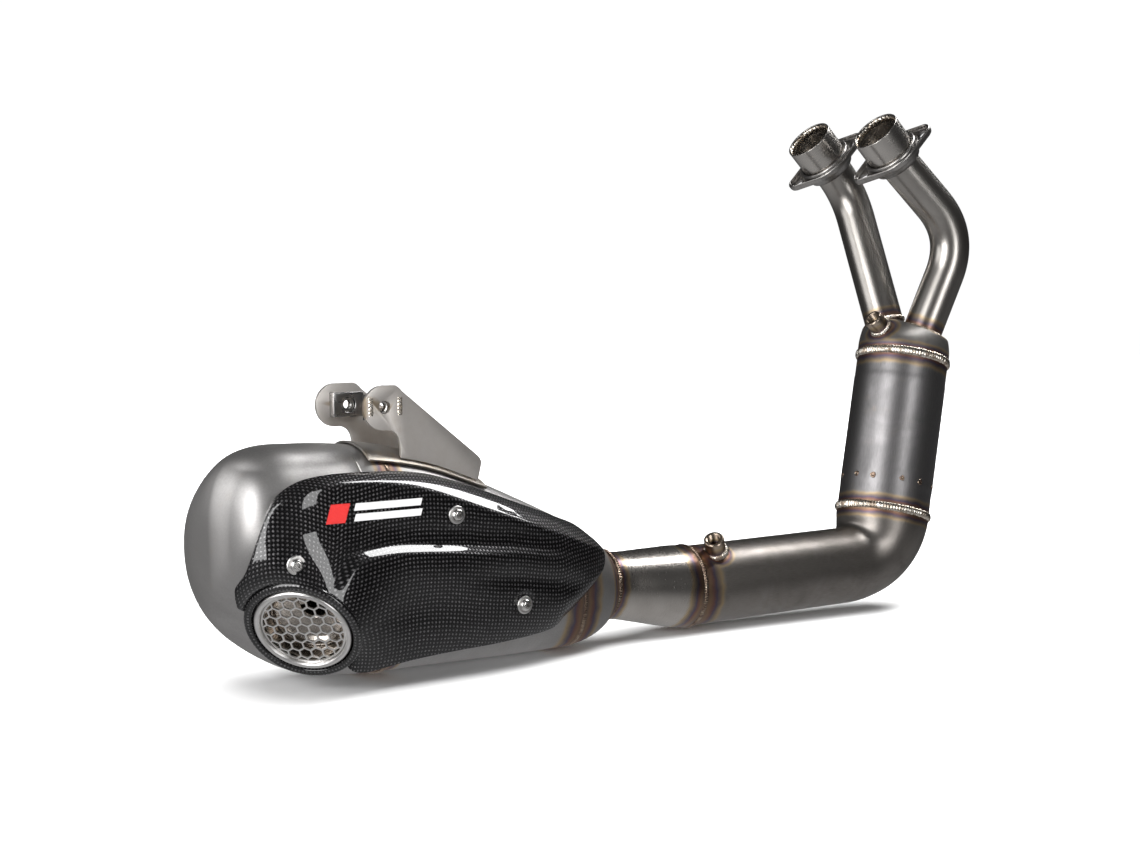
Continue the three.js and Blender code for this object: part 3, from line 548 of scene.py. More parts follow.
def carbon_cloth(name, decal=False):
    """Plain-weave carbon on the bias under clear lacquer, its colour with painted sheen on the tows. UVs are
    metres along and up the sheet.
    """
    tow = 0.00235
    paint = Paint(name, Metallic=0.85, Coat_Weight=1.0, Coat_Roughness=0.025, Coat_IOR=1.52,
                  Anisotropic=0.6)
    wander = paint.node("TexNoise", {"noise_dimensions": "2D"}, Vector=paint.uv(), Scale=28.0, Detail=1.0)
    pull = paint.node("VectorMath", {"operation": "SUBTRACT"})
    paint.put(pull.inputs[0], wander.outputs["Color"])
    pull.inputs[1].default_value = (0.5, 0.5, 0.5)
    shift = paint.node("VectorMath", {"operation": "MULTIPLY_ADD"})
    paint.put(shift.inputs[0], pull)
    shift.inputs[1].default_value = (0.0022, 0.0022, 0)
    paint.put(shift.inputs[2], paint.uv())
    turn = paint.node("Mapping", Vector=shift)
    turn.inputs["Rotation"].default_value = (0, 0, math.pi / 4)
    turn.inputs["Scale"].default_value = (1 / tow, 1 / tow, 1)
    parts = paint.node("SeparateXYZ", Vector=turn)
    a, b = parts.outputs[0], parts.outputs[1]
    odd = paint.math("PINGPONG", paint.math("ADD", paint.math("FLOOR", a), paint.math("FLOOR", b)), 1.0)
    fa = paint.math("SUBTRACT", paint.math("FRACT", a), 0.5)
    fb = paint.math("SUBTRACT", paint.math("FRACT", b), 0.5)
    round_a = paint.math("COSINE", paint.math("MULTIPLY", fa, math.pi))
    round_b = paint.math("COSINE", paint.math("MULTIPLY", fb, math.pi))
    pillow = paint.math("POWER", paint.math("MULTIPLY", round_a, round_b), 0.75)
    across = paint.math("MULTIPLY_ADD", odd, paint.math("SUBTRACT", b, a), a)
    fibre = paint.math("SINE", paint.math("MULTIPLY", across, 62.0))
    fibre = paint.math("MULTIPLY_ADD", fibre, 0.12, 0.88)
    # Painted sheen: one set of tows, the crown of each tow and its fibres are painted lighter than the rest,
    # standing in for light glinting on the lacquered weave.
    painted_sheen = paint.math("MULTIPLY", paint.math("MULTIPLY", pillow, fibre),
                     paint.math("MULTIPLY_ADD", odd, 0.86, 0.14))
    uneven = paint.range(paint.noise(paint.uv(), 240.0, 2.0), 0.3, 0.7, 0.72, 1.12)
    painted_sheen = paint.math("MULTIPLY", painted_sheen, uneven)
    # The weave's colour runs from near black up to the grey of the painted sheen.
    weave_and_sheen = paint.ramp(painted_sheen, [(0.0, (0.0025, 0.0025, 0.003)), (0.35, (0.02, 0.019, 0.02)),
                             (1.0, (0.19, 0.185, 0.19))])
    paint.set(Base_Color=weave_and_sheen, Roughness=paint.math("MULTIPLY_ADD", pillow, -0.1, 0.46))
    if decal:
        plain_marks(paint, weave_and_sheen)
    paint.set(Anisotropic_Rotation=paint.math("MULTIPLY_ADD", odd, 0.25, 0.125))
    paint.set(Tangent=paint.node("Tangent", {"direction_type": "UV_MAP", "uv_map": "UVMap"}))
    paint.set(Normal=paint.bump(paint.math("MULTIPLY_ADD", fibre, 0.15, pillow), 0.00022, 0.55))


weld_metal("weld", (0.26, 0.19, 0.14), (0.52, 0.45, 0.37), (0.80, 0.75, 0.67), (0.90, 0.88, 0.85))
weld_metal("seam_weld", (0.14, 0.095, 0.08), (0.24, 0.17, 0.13), (0.36, 0.28, 0.21), (0.48, 0.41, 0.33))


# ---------------------------------------------------------------- header pipes and port flanges
PORT_AXIS = unit(arr(-0.727, 0.032, 0.686))
EAR_AXIS = arr(0.53, -0.63, 0.555)
EAR_AXIS = unit(EAR_AXIS - PORT_AXIS * (EAR_AXIS @ PORT_AXIS))
SIDE_AXIS = np.cross(PORT_AXIS, EAR_AXIS)
PIPE_RADIUS = 19.05
SHEET = 1.5
THREAD_PITCH = 1.25
# mouth, corner where the two straights would meet, end on the collector, radius of the bend
HEADERS = {
    "right": (arr(-24.5, -1.1, 457.6), arr(74.5, -21, 358), arr(34.6, -6.1, 258), 64),
    "left": (arr(-23.5, 91.1, 457.2), arr(31, 88.5, 405), arr(25.1, 30.7, 266), 62),
}
FLANGE_DROP = 35.5
STUD_REACH = 34.0
# radius and height of the rolled collar, going up its inside and down its outside
FLANGE_COLLAR = [(24.1, -3.0), (24.05, 2), (24.1, 7.4), (24.4, 8.6), (25.2, 9.3), (26.0, 9.4), (26.8, 8.9),
                 (27.3, 7.9), (27.5, 6.4), (27.6, 4.6)]
# distance in from the edge and height of the turned-up rim, going out over it and back underneath
FLANGE_RIM = [(3.9, 2.75), (3.0, 3.4), (2.6, 4.6), (2.45, 5.9), (2.0, 6.7), (1.3, 7.0), (0.6, 6.7),
              (0.1, 5.9), (0.0, 4.8), (0.1, 2.6), (0.7, 1.0), (1.7, 0.2), (3.0, 0.0)]
# radius and height of the throat that is pressed down round the pipe
FLANGE_THROAT = [(26.9, -0.4), (25.6, -3.2), (24.0, -6.4), (22.4, -7.0), (20.6, -6.9), (20.9, -5.8),
                 (23.0, -4.4)]


def glow(distance, reach):
    """Heat value from distance to a weld: 1 at the bead, 0 out of reach."""
    return np.clip(1 - np.asarray(distance) / reach, 0, 1)


def header(side, mouth, corner, end, bend):
    start = mouth - PORT_AXIS * 41
    path = bent_path(start, corner, end + unit(end - corner) * 2, bend, 110)
    points, faces, uv = tube_grid(path, np.full(len(path), PIPE_RADIUS), SHEET)
    up = unit(corner - end)
    heat = glow(np.maximum((points - end) @ up - 6, 0), 15) * (np.linalg.norm(points - end, axis=1) < 60)
    piece(f"header_{side}", points, faces, "tube_steel", uv=uv, heat=heat, slot="header_steel",
          stands_for=[f"header_tube_{side}"])


def spigot(side, mouth):
    profile = [[21.9, 0], [23.5, 0], [23.5, -33], [19.6, -40], [17.6, -40], [17.6, -37], [21.9, -32.5]]
    points, faces, uv = turned(rounded(profile, 0.6), mouth, PORT_AXIS, 128)
    depth = (points - mouth) @ PORT_AXIS
    heat = glow(np.abs(depth + 39), 6) * 0.5
    piece(f"spigot_{side}", points, faces, "bright_tube", uv=uv, heat=heat, slot="polished_steel",
          stands_for=[f"port_spigot_{side}"])
    path = ring_points(mouth - PORT_AXIS * 4.6, PORT_AXIS, 21.9, 720)
    lean = (mouth - PORT_AXIS * 4.6 - path) / 21.9
    bead(f"spigot_bead_{side}", path, lean, 3.1, 1.1, seed=5 if side == "right" else 9, pitch=4.6,
         rough=0.5, depth=0.3)


def ear_outline(angle):
    """Distance from the middle of the flange to its edge at an angle from the ear axis."""
    half, ear, waist = STUD_REACH, 10.0, 30.0
    direction = np.stack([np.cos(angle), np.sin(angle)], axis=-1)
    lean = math.acos((waist - ear) / half)
    touch = np.abs(np.arctan2(np.abs(direction[..., 1]), np.abs(direction[..., 0])))
    edge_low = math.atan2(ear * math.sin(lean), half + ear * math.cos(lean))
    straight = waist / np.maximum(np.cos(touch - lean), 1e-6)
    x, y = np.abs(direction[..., 0]), np.abs(direction[..., 1])
    rounded_end = half * x + np.sqrt(np.maximum(ear**2 - (half * y) ** 2, 0))
    return np.where(touch > lean, waist, np.where(touch < edge_low, rounded_end, straight))


def flange(side, mouth):
    """Pressed plate with a turned-up rim and a rolled collar: turned, but with its edge on the outline."""
    seat = mouth - PORT_AXIS * FLANGE_DROP
    count = 288
    angle = np.linspace(0, 2 * math.pi, count, endpoint=False)
    outer = ear_outline(angle)
    rows = []

    def row(radius, height):
        rows.append(np.stack([radius * np.cos(angle), radius * np.sin(angle),
                              np.full(count, float(height))], axis=1))

    for radius, height in FLANGE_COLLAR:
        row(np.full(count, radius), height)
    flat = np.maximum(outer - 5.2, 28.1)
    row(np.full(count, 27.75), 3.5)
    row(np.minimum(np.full(count, 28.6), flat), 2.8)
    row(flat, 2.5)
    for out, height in FLANGE_RIM:
        row(np.maximum(outer - out, 27.9), height)
    row(np.maximum(outer - 6, 27.2), 0)
    for radius, height in FLANGE_THROAT:
        row(np.full(count, radius), height)
    local = np.array(rows)
    world = seat + local[..., 0:1] * EAR_AXIS + local[..., 1:2] * SIDE_AXIS + local[..., 2:3] * PORT_AXIS
    uv = np.stack([local[..., 0], local[..., 1]], axis=2)
    uv = np.concatenate([uv, uv[:, :1]], axis=1)
    uv = np.concatenate([uv, uv[:1]], axis=0)
    points, faces, uv = grid(world, wrap_rows=True, uv=uv)
    plate = piece(f"flange_{side}", points, faces, "flange_steel", body=f"flange_{side}", uv=uv,
                  slot="brushed_steel", stands_for=[f"port_flange_{side}"], crease=50)
    cutters = []
    for end in (-1, 1):
        middle = seat + EAR_AXIS * STUD_REACH * end
        outline = [(5.6 * a + 1.0 * end, 4.6 * b) for a, b in circle(1, 40)]
        place = lambda a, b, d: middle + EAR_AXIS * a + SIDE_AXIS * b + PORT_AXIS * d
        cutters.append(tool(*prism(outline, -4, 14, place)))
    cut(plate, *cutters)
    soften(plate, 50)


steel("bright_tube", (0.48, 0.455, 0.43), (0.56, 0.535, 0.505), 0.27, 0.02, grain=0.2,
      streak=(14.0, 260.0), mottle=20.0, scratch=0.1)
steel("flange_steel", (0.26, 0.25, 0.24), (0.42, 0.405, 0.39), 0.36, 0.07, grain=0.2, streak=(60.0, 60.0),
      mottle=60.0)
for side, (mouth, corner, end, bend) in HEADERS.items():
    header(side, mouth, corner, end, bend)
    spigot(side, mouth)
    flange(side, mouth)


# ---------------------------------------------------------------- collector cap and catalyst can
CAN_RADIUS = 44.5
CAN_BOTTOM, CAN_TOP = arr(-20.2, -8.8, 88.4), arr(21.4, 4.7, 235.5)
CAN_AXIS = unit(CAN_TOP - CAN_BOTTOM)
CAP_SECTIONS = np.array([[0, 1, 1], [10, 1, 1], [19, 0.99, 0.9], [28, 0.97, 0.72], [36, 0.93, 0.58]])
ENDS = [HEADERS["right"][2], HEADERS["left"][2]]
CAP_LONG = ENDS[1] - ENDS[0]
CAP_LONG = unit(CAP_LONG - CAN_AXIS * (CAP_LONG @ CAN_AXIS))
CAP_SHORT = np.cross(CAN_AXIS, CAP_LONG)


def collector():
    foot = CAN_TOP + CAN_AXIS * 1.0
    lean = (ENDS[0] + ENDS[1]) / 2 - (foot + CAN_AXIS * 36)
    lean = lean - CAN_AXIS * (lean @ CAN_AXIS)
    rises = np.linspace(0, 36, 25)
    shares = hermite(CAP_SECTIONS[:, 0], CAP_SECTIONS[:, 1:], rises)
    angle = np.linspace(0, 2 * math.pi, 120, endpoint=False)[:, None]
    rings = []
    for rise, (long, short) in zip(rises, shares):
        centre = foot + CAN_AXIS * rise + lean * (rise / 36) ** 2
        rings.append(centre + CAN_RADIUS
                     * (np.cos(angle) * CAP_LONG * long + np.sin(angle) * CAP_SHORT * short))
    rings = np.array(rings)
    points, faces, _ = grid(rings)
    last = len(points) - 120
    faces += [list(range(120)), list(range(last, last + 120))]
    shell = piece("collector", points, faces, "cap_steel", slot="brushed_steel",
                  stands_for=["collector_cap"])
    cutters = []
    for _, corner, end, _ in HEADERS.values():
        up = unit(corner - end)
        u, v = basis(up)
        base = end + up * 5.6
        square = [(-90, -90), (90, -90), (90, 90), (-90, 90)]
        cutters.append(tool(*prism(square, 0, 80, lambda a, b, d: base + u * a + v * b + up * d)))
    cut(shell, *cutters)
    melt = shell.modifiers.new("melt", "REMESH")
    melt.mode = "VOXEL"
    melt.voxel_size = 0.0011
    ease = shell.modifiers.new("ease", "SMOOTH")
    ease.factor = 0.5
    ease.iterations = 9
    bake(shell)
    soften(shell, 60)
    data = shell.data
    spots = design_points(data)
    heat = glow((spots - CAN_TOP) @ CAN_AXIS - 1, 11)
    for _, corner, end, _ in HEADERS.values():
        up = unit(corner - end)
        off = spots - end
        radial = np.linalg.norm(off - (off @ up)[:, None] * up, axis=1)
        away = np.maximum(radial - 21, 0) + np.maximum(5 - off @ up, 0) * 0.6
        heat = np.maximum(heat, glow(away, 10) * 0.8)
    heat = np.maximum(heat, glow(np.linalg.norm(spots - UPPER_BUNG[0], axis=1) - 9, 12))
    set_heat(data, heat)


UPPER_BUNG = (arr(-9, 4, 267), unit(arr(-0.78, 0, 0.62)))
LOWER_BUNG = (arr(-234, -8, 69), unit(arr(-0.5, -0.4, 0.77)))


def bung(name, foot, axis, stands_for):
    """Turned boss with a threaded bore. The weld round its foot is a bead of its own."""
    profile = [[9.2, -5], [9.2, 16], [8.4, 17], [6.7, 17]]
    height = 16.4
    while height > -4.2:
        profile += [[6.0, height], [6.5, height - 0.62]]
        height -= THREAD_PITCH
    profile += [[6.0, -5]]
    base = [arr(*p) for p in profile]
    ring = rounded(base[:4], 0.35, 3)[5:]
    points, faces, uv = turned(np.vstack([base[0], ring[:-2], base[4:]]), foot, axis, 72)
    rise = (points - foot) @ axis
    piece(name, points, faces, "bronzed_steel", uv=uv, slot="bright_steel", stands_for=stands_for,
          heat=glow(rise - 1.5, 12) * 0.95, crease=30)


collector()
bung("bung_upper", *UPPER_BUNG, ["sensor_bung_upper"])
bung("bung_lower", *LOWER_BUNG, ["sensor_bung_lower"])
for name, (foot, axis), rise, radius, half_width, crown, seed, pitch in (
    ("upper", UPPER_BUNG, 2.0, 9.6, 2.2, 1.6, 21, 1.7),
    ("lower", LOWER_BUNG, 1.6, 9.9, 2.6, 1.8, 22, 1.8),
):
    bead_round(f"bung_weld_{name}", foot + axis * rise, axis, radius, half_width, crown, seed, lean_axis=0.7,
               pitch=pitch)
for side, (mouth, corner, end, bend) in HEADERS.items():
    up = unit(corner - end)
    bead_round(f"header_weld_{side}", end + up * 6.2, up, PIPE_RADIUS + 0.3, 2.0, 1.3,
               31 if side == "left" else 32,
               lean_axis=0.6, pitch=1.8)

CAN_LENGTH = np.linalg.norm(CAN_TOP - CAN_BOTTOM)


def can():
    length = CAN_LENGTH
    stops = np.concatenate([np.linspace(1, 16, 16), np.linspace(18, length - 18, 50),
                            np.linspace(length - 16, length - 1, 16)])
    outer = []
    for stop in stops:
        swell = 0.35 * (smoothstep(stop, 20, 26) - smoothstep(stop, length - 26, length - 20))
        outer.append([CAN_RADIUS - 0.35 + swell, stop])
    inner = [[43.0, stops[-1]], [43.0, stops[0]]]
    points, faces, uv = turned(outer + inner, CAN_BOTTOM, CAN_AXIS, 160)
    rise = (points - CAN_BOTTOM) @ CAN_AXIS
    heat = np.maximum(glow(rise - 1, 13), glow(length - rise - 1, 15))
    piece("can", points, faces, "can_steel", uv=uv, heat=heat, slot="brushed_steel",
          stands_for=["catalyst_can"])


def plug_welds():
    """Small plug welds that hold the catalyst mantle, in a ring near the bottom of the can."""
    u, v = basis(CAN_AXIS)
    rng = random.Random(12)
    points, faces = [], []
    for i in range(12):
        angle = math.radians(30 * i + rng.uniform(-4, 4))
        out = math.cos(angle) * u + math.sin(angle) * v
        across = np.cross(CAN_AXIS, out)
        middle = CAN_BOTTOM + CAN_AXIS * (29 + rng.uniform(-0.6, 0.6)) + out * (CAN_RADIUS - 0.05)
        size = rng.uniform(2.3, 2.7)
        profile = [(0.0, 0.15), (0.35, 0.2), (0.6, 0.45), (0.8, 0.65), (0.95, 0.5), (1.1, 0.1),
                   (1.15, -0.6)]
        first = len(points)
        points.append(middle + out * profile[0][1])
        for reach, rise in profile[1:]:
            for k in range(16):
                t = 2 * math.pi * k / 16
                wave = 1 + 0.08 * math.sin(3 * t + i)
                points.append(middle + (across * math.cos(t) + CAN_AXIS * math.sin(t)) * size * reach
                              * wave + out * rise)
        rings = len(profile) - 1
        for k in range(16):
            j = (k + 1) % 16
            faces.append([first, first + 1 + k, first + 1 + j])
            for ring in range(rings - 1):
                a = first + 1 + ring * 16
                faces.append([a + k, a + 16 + k, a + 16 + j, a + j])
        a = first + 1 + (rings - 1) * 16
        faces.append([a + k for k in range(16)])
    piece("plug_welds", np.array(points), faces, "seam_weld", slot="weld", crease=60)


steel("can_steel", (0.19, 0.185, 0.187), (0.31, 0.30, 0.302), 0.41, 0.05, grain=0.4, streak=(200.0, 10.0),
      mottle=20.0)
can()
plug_welds()
for name, centre, half_width, seed in (("upper", CAN_TOP, 4.1, 41), ("lower", CAN_BOTTOM, 3.9, 42)):
    bead_round(f"weld_can_{name}", centre, CAN_AXIS, CAN_RADIUS - 0.3, half_width, 1.9, seed, pitch=2.7,
               rough=0.3, stands_for=[f"can_weld_{name}"])


# ---------------------------------------------------------------- link pipe and inlet cone
LINK_CORNER, LINK_END = arr(-33.5, -12.3, 42), arr(-251.5, 12.3, 37.4)
CONE_FROM, CONE_TO = arr(-260.5, 12.8, 37.6), arr(-356, 16.2, 48)
CONE_AXIS = unit(CONE_TO - CONE_FROM)


def link():
    start = CAN_BOTTOM - CAN_AXIS * 0.8
    path = bent_path(start, LINK_CORNER, LINK_END + unit(LINK_END - LINK_CORNER) * 2.5, 58, 120)
    run = lengths_along(path)
    reach = 58 * math.tan(math.acos(unit(LINK_CORNER - start) @ unit(LINK_END - LINK_CORNER)) / 2)
    first = np.linalg.norm(LINK_CORNER - start) - reach
    bend_end = first + 1.62 * reach
    radii = CAN_RADIUS + (36 - CAN_RADIUS) * smoothstep(run, 0, bend_end * 0.9)
    across = np.cross(CAN_BOTTOM - CAN_TOP, LINK_END - LINK_CORNER)
    points, faces, uv = tube_grid(path, radii, SHEET, 128, across=across)
    far = (points - LINK_END) @ unit(LINK_END - LINK_CORNER)
    near = (CAN_BOTTOM - points) @ CAN_AXIS
    heat = np.maximum(glow(-far - 1, 20) * 0.9, glow(near - 2, 12) * (points[:, 0] > -75))
    heat = np.maximum(heat, glow(np.linalg.norm(points - LOWER_BUNG[0], axis=1) - 10, 9))
    piece("link", points, faces, "pipe_steel", uv=uv, heat=heat, slot="brushed_steel",
          stands_for=["link_pipe"])


def cone():
    length = np.linalg.norm(CONE_TO - CONE_FROM)
    stops = np.linspace(-2.5, length, 60)
    big, small = 37.2, 29.6
    radii = np.interp(stops, [-2.5, 6, 12, length - 26, length - 18, length],
                      [big, big, big - 0.35, small + 0.25, small, small])
    radii = np.convolve(np.pad(radii, 2, mode="edge"), np.ones(5) / 5, mode="valid")
    profile = [[r, s] for r, s in zip(radii, stops)] + [[r - SHEET, s] for r,
                                                        s in zip(radii[::-1], stops[::-1])]
    points, faces, uv = turned(profile, CONE_FROM, CONE_AXIS, 128)
    rise = (points - CONE_FROM) @ CONE_AXIS
    heat = np.maximum(glow(rise + 1, 18), glow(length - 8 - rise, 15))
    piece("cone", points, faces, "cone_steel", uv=uv, heat=heat, slot="polished_steel",
          stands_for=["inlet_cone"])


steel("cone_steel", (0.44, 0.41, 0.38), (0.56, 0.53, 0.495), 0.25, 0.04, streak=(12.0, 240.0), mottle=18.0,
      tint=0.95)
link()
cone()
joint_middle = (LINK_END + CONE_FROM) / 2
joint_axis = unit(CONE_AXIS + unit(LINK_END - LINK_CORNER))
bead_round("weld_link", joint_middle, joint_axis, 36.9, 2.3, 1.0, 43, pitch=2.3, finish="seam_weld",
           stands_for=["link_weld"])
bead_round("weld_neck", CONE_TO - CONE_AXIS * 8.5, CONE_AXIS, 30.4, 2.7, 1.7, 44, pitch=2.2,
           finish="seam_weld", stands_for=["neck_weld"])


# ---------------------------------------------------------------- muffler body
BODY_NOSE, BODY_TAIL = -350, -707
SEAM_FRONT, SEAM_MIDDLE = -398, -577
# x, right edge y, left edge y, bottom z, top z
BODY_STATIONS = arr(
    (-350, -16, 48, 16, 80),
    (-362, -24, 57, 8, 91),
    (-380, -30, 65, 3, 102),
    (-400, -33, 71, 1, 112),
    (-450, -35, 82, 0, 136),
    (-495, -35, 90, 0, 156),
    (-540, -35, 98, 0, 174),
    (-590, -35, 104, 0, 184),
    (-640, -34, 107, 5, 187),
    (-670, -32, 105, 18, 186),
    (-690, -25, 100, 33, 178),
    (-701, -14, 91, 48, 164),
    (-707, 4, 76, 66, 143),
)[::-1]
OUTLET = arr(-658.7, -25.7, 49.3)
OUTLET_AXIS = unit(arr(-0.631, -0.576, -0.52))
FACET_DEPTH = 14
# shield in plan, from its rear edge to its front tip: x, y, bottom z, top z
SHIELD_STATIONS = arr(
    (-704, -6, 58, 92),
    (-700, -20, 44, 122),
    (-690, -33, 30, 147),
    (-674, -42, 19, 160),
    (-650, -47, 13, 166.5),
    (-610, -48, 15, 167.5),
    (-570, -48, 19, 165),
    (-534, -48, 21, 157.5),
    (-487, -47.5, 22.5, 141.5),
    (-438, -44, 26.5, 124),
    (-420, -42, 36, 118),
    (-400, -38, 47, 111),
    (-388, -35, 55, 104.5),
    (-380, -32.3, 62.5, 98),
    (-377, -31, 71, 90.5),
)


BODY_PATH = np.vstack([BODY_STATIONS[::-1], arr((-708.6, 39.8, 40.2, 104.3, 104.7))])


def path_run(path):
    """Distance along the body at each station, from its move in x and the change of its outline."""
    change = np.diff(path, axis=0)
    return np.concatenate([[0], np.cumsum(np.sqrt(change[:, 0] ** 2 + (change[:, 1:] ** 2).mean(axis=1)))])


BODY_RUN = path_run(BODY_PATH)


def body_rings(stations, sides):
    """Rings of the muffler skin at distances along it, with their points at even angles."""
    rows = hermite(BODY_RUN, BODY_PATH, stations)
    dense = np.linspace(0, 2 * math.pi, 1440, endpoint=False)
    c, s = np.cos(dense), np.sin(dense)
    spin = np.linspace(0, 2 * math.pi, sides, endpoint=False)
    rings = []
    for x, right, left, bottom, top in rows:
        blend = float(smoothstep(BODY_NOSE - x, 0, 50))
        sideways = 2 + blend * (np.where(c < 0, 3.2, np.where(s > 0, 1.2, 1.5)) - 2)
        y = (left - right) / 2 * np.sign(c) * np.abs(c) ** (2 / sideways)
        z = (top - bottom) / 2 * np.sign(s) * np.abs(s) ** (2 / (2 + blend * 0.3))
        reach = np.interp(spin, np.arctan2(z, y), np.hypot(y, z), period=2 * math.pi)
        middle_y, middle_z = (right + left) / 2, (bottom + top) / 2
        rings.append(np.stack([np.full(sides, x), middle_y + reach * np.cos(spin),
                               middle_z + reach * np.sin(spin)], axis=1))
    return np.array(rings)


def ease_rings(rings, times):
    """Rounds the corners that the section formula leaves, along and across the body."""
    for _ in range(times):
        rings = rings * 0.5 + (np.roll(rings, 1, axis=1) + np.roll(rings, -1, axis=1)) * 0.25
        inner = rings[1:-1] * 0.5 + (rings[2:] + rings[:-2]) * 0.25
        rings = np.concatenate([rings[:1], inner, rings[-1:]])
    return rings


BODY_SIDES = 288
BODY_STOPS = 330
BODY_EASING = 22
BODY_SKIN = ease_rings(body_rings(np.linspace(0, BODY_RUN[-1], BODY_STOPS), BODY_SIDES), BODY_EASING)


def skin_between(x_from, x_to):
    """Rings of the eased skin from one value of x back to another, ending exactly there."""
    places = BODY_SKIN[:, 0, 0]
    inside = BODY_SKIN[(places < x_from - 0.3) & (places > x_to + 0.3)]
    if x_to <= BODY_TAIL:
        return np.concatenate([skin_ring(x_from)[None], BODY_SKIN[places < x_from - 0.3]])
    return np.concatenate([skin_ring(x_from)[None], inside, skin_ring(x_to)[None]])


def skin_ring(x):
    after = int(np.argmax(BODY_SKIN[:, 0, 0] <= x))
    before = max(after - 1, 0)
    a, b = BODY_SKIN[before], BODY_SKIN[after]
    share = (a[0, 0] - x) / max(a[0, 0] - b[0, 0], 1e-6)
    return a + (b - a) * share


def shield_distance(x, z):
    """Distance in side view from the shield's outline, negative inside it."""
    edge = hermite(np.arange(len(SHIELD_STATIONS)), SHIELD_STATIONS,
                   np.linspace(0, len(SHIELD_STATIONS) - 1, 90))
    loop = np.vstack([edge[:, [0, 3]], edge[::-1][:, [0, 2]]])
    a, b = loop, np.roll(loop, -1, axis=0)
    p = np.stack([x, z], axis=-1)[..., None, :]
    t = np.clip(((p - a) * (b - a)).sum(-1) / np.maximum(((b - a) ** 2).sum(-1), 1e-9), 0, 1)
    away = np.linalg.norm(p - a - t[..., None] * (b - a), axis=-1).min(-1)
    crosses = ((a[:, 1] > p[..., 1]) != (b[:, 1] > p[..., 1])) & (
        p[..., 0] < (b[:, 0] - a[:, 0]) * (p[..., 1] - a[:, 1])
        / np.where(b[:, 1] == a[:, 1], 1e-9, b[:, 1] - a[:, 1]) + a[:, 0]
    )
    return np.where(crosses.sum(-1) % 2 == 1, -away, away)


def body_shell(x_from, x_to, name, node, finish_heat):
    skin = skin_between(x_from, x_to)
    normal = grid_normals(skin)
    skin = skin - normal * recess(skin)[..., None]
    closed_tail = x_to <= BODY_TAIL
    inner = skin - normal * SHEET
    if not closed_tail:
        inner[-1, :, 0] = skin[-1, :, 0]
    inner[0, :, 0] = skin[0, :, 0]
    for part, level in ((skin, 0), (inner, SHEET)):
        beyond = (part - OUTLET) @ OUTLET_AXIS + FACET_DEPTH + level
        part -= (0.5 * (beyond + np.sqrt(beyond**2 + 150)))[..., None] * OUTLET_AXIS
    rings = np.concatenate([skin, inner[::-1]])
    run = np.concatenate([[0], np.cumsum(np.linalg.norm(np.diff(rings[:, 0], axis=0), axis=1)), [0]])
    arc = np.linspace(0, 560, BODY_SIDES + 1)
    uv = np.stack(np.meshgrid(run, arc, indexing="ij"), axis=2)
    points, faces, uv = grid(rings, wrap_rows=True, uv=uv)
    return piece(name, points, faces, "body_steel", uv=uv, heat=finish_heat(points), slot="brushed_steel",
                 stands_for=[node], crease=60)


def grid_normals(rings):
    across = np.roll(rings, -1, axis=1) - np.roll(rings, 1, axis=1)
    along = np.gradient(rings, axis=0)
    normal = np.cross(across, along)
    normal /= np.maximum(np.linalg.norm(normal, axis=2, keepdims=True), 1e-9)
    middle = rings.mean(axis=1, keepdims=True)
    if ((rings - middle) * normal).sum() < 0:
        normal = -normal
    return normal


# border pressed in round the shield: its width low down and high up, half the width of its slope, its depth
RECESS_LOW, RECESS_HIGH, RECESS_SLOPE, RECESS_DEPTH = 8, 26, 3.2, 5.0


def recess(points):
    """How far the skin is pressed in around the shield, behind the middle seam."""
    x, y, z = points[..., 0], points[..., 1], points[..., 2]
    away = shield_distance(x, z)
    reach = RECESS_LOW + (RECESS_HIGH - RECESS_LOW) * smoothstep(z, 70, 140)
    pocket = smoothstep(away, reach + RECESS_SLOPE, reach - RECESS_SLOPE)
    fade = smoothstep(z, 186, 172) * smoothstep(y, 30, 4) * smoothstep(x, -582, -612)
    return RECESS_DEPTH * pocket * fade


def seam_heat(seams):
    def value(points):
        heat = np.zeros(len(points))
        for x, reach in seams:
            heat = np.maximum(heat, glow(np.abs(points[:, 0] - x) - 1.5, reach))
        return heat

    return value


steel("body_steel", (0.35, 0.34, 0.335), (0.45, 0.44, 0.435), 0.50, 0.05, grain=0.12, mottle=16.0,
      streak=(60.0, 60.0), tint=0.9, scratch=0.2)
body_shell(BODY_NOSE, SEAM_FRONT + 0.6, "muffler_front", "muffler_front_cap",
           seam_heat([(SEAM_FRONT, 21), (BODY_NOSE, 12)]))
body_shell(SEAM_FRONT - 0.6, SEAM_MIDDLE + 0.6, "muffler_middle", "muffler_middle_shell",
           seam_heat([(SEAM_FRONT, 21), (SEAM_MIDDLE, 13)]))
rear = body_shell(SEAM_MIDDLE - 0.6, BODY_TAIL, "muffler_rear", "muffler_rear_shell",
                  seam_heat([(SEAM_MIDDLE, 13)]))
cut(rear, rod_tool(OUTLET - OUTLET_AXIS * 60, OUTLET + OUTLET_AXIS * 20, 33.2))
soften(rear, 60)


def seam_bead(name, x, node, seed):
    rings = np.array([skin_ring(x + step) for step in (2, 0, -2)])
    normal = grid_normals(rings)[1]
    bead(name, rings[1] - normal * 0.25, normal, 2.2, 0.75, seed, finish="seam_weld", pitch=2.0,
         rough=0.25, stands_for=[node])


seam_bead("weld_muffler_front", SEAM_FRONT, "muffler_weld_front", 51)
seam_bead("weld_muffler_middle", SEAM_MIDDLE, "muffler_weld_middle", 52)


# ---------------------------------------------------------------- heat shield
SHIELD_SHEET = 1.8
SHIELD_BOLTS = {
    "rear": (arr(-671, -43, 103), unit(arr(-0.27, -0.96, 0))),
    "upper": (arr(-535, -48, 130), unit(arr(0, -1, 0))),
    "lower": (arr(-471, -46.6, 52), unit(arr(0.03, -1, 0))),
}
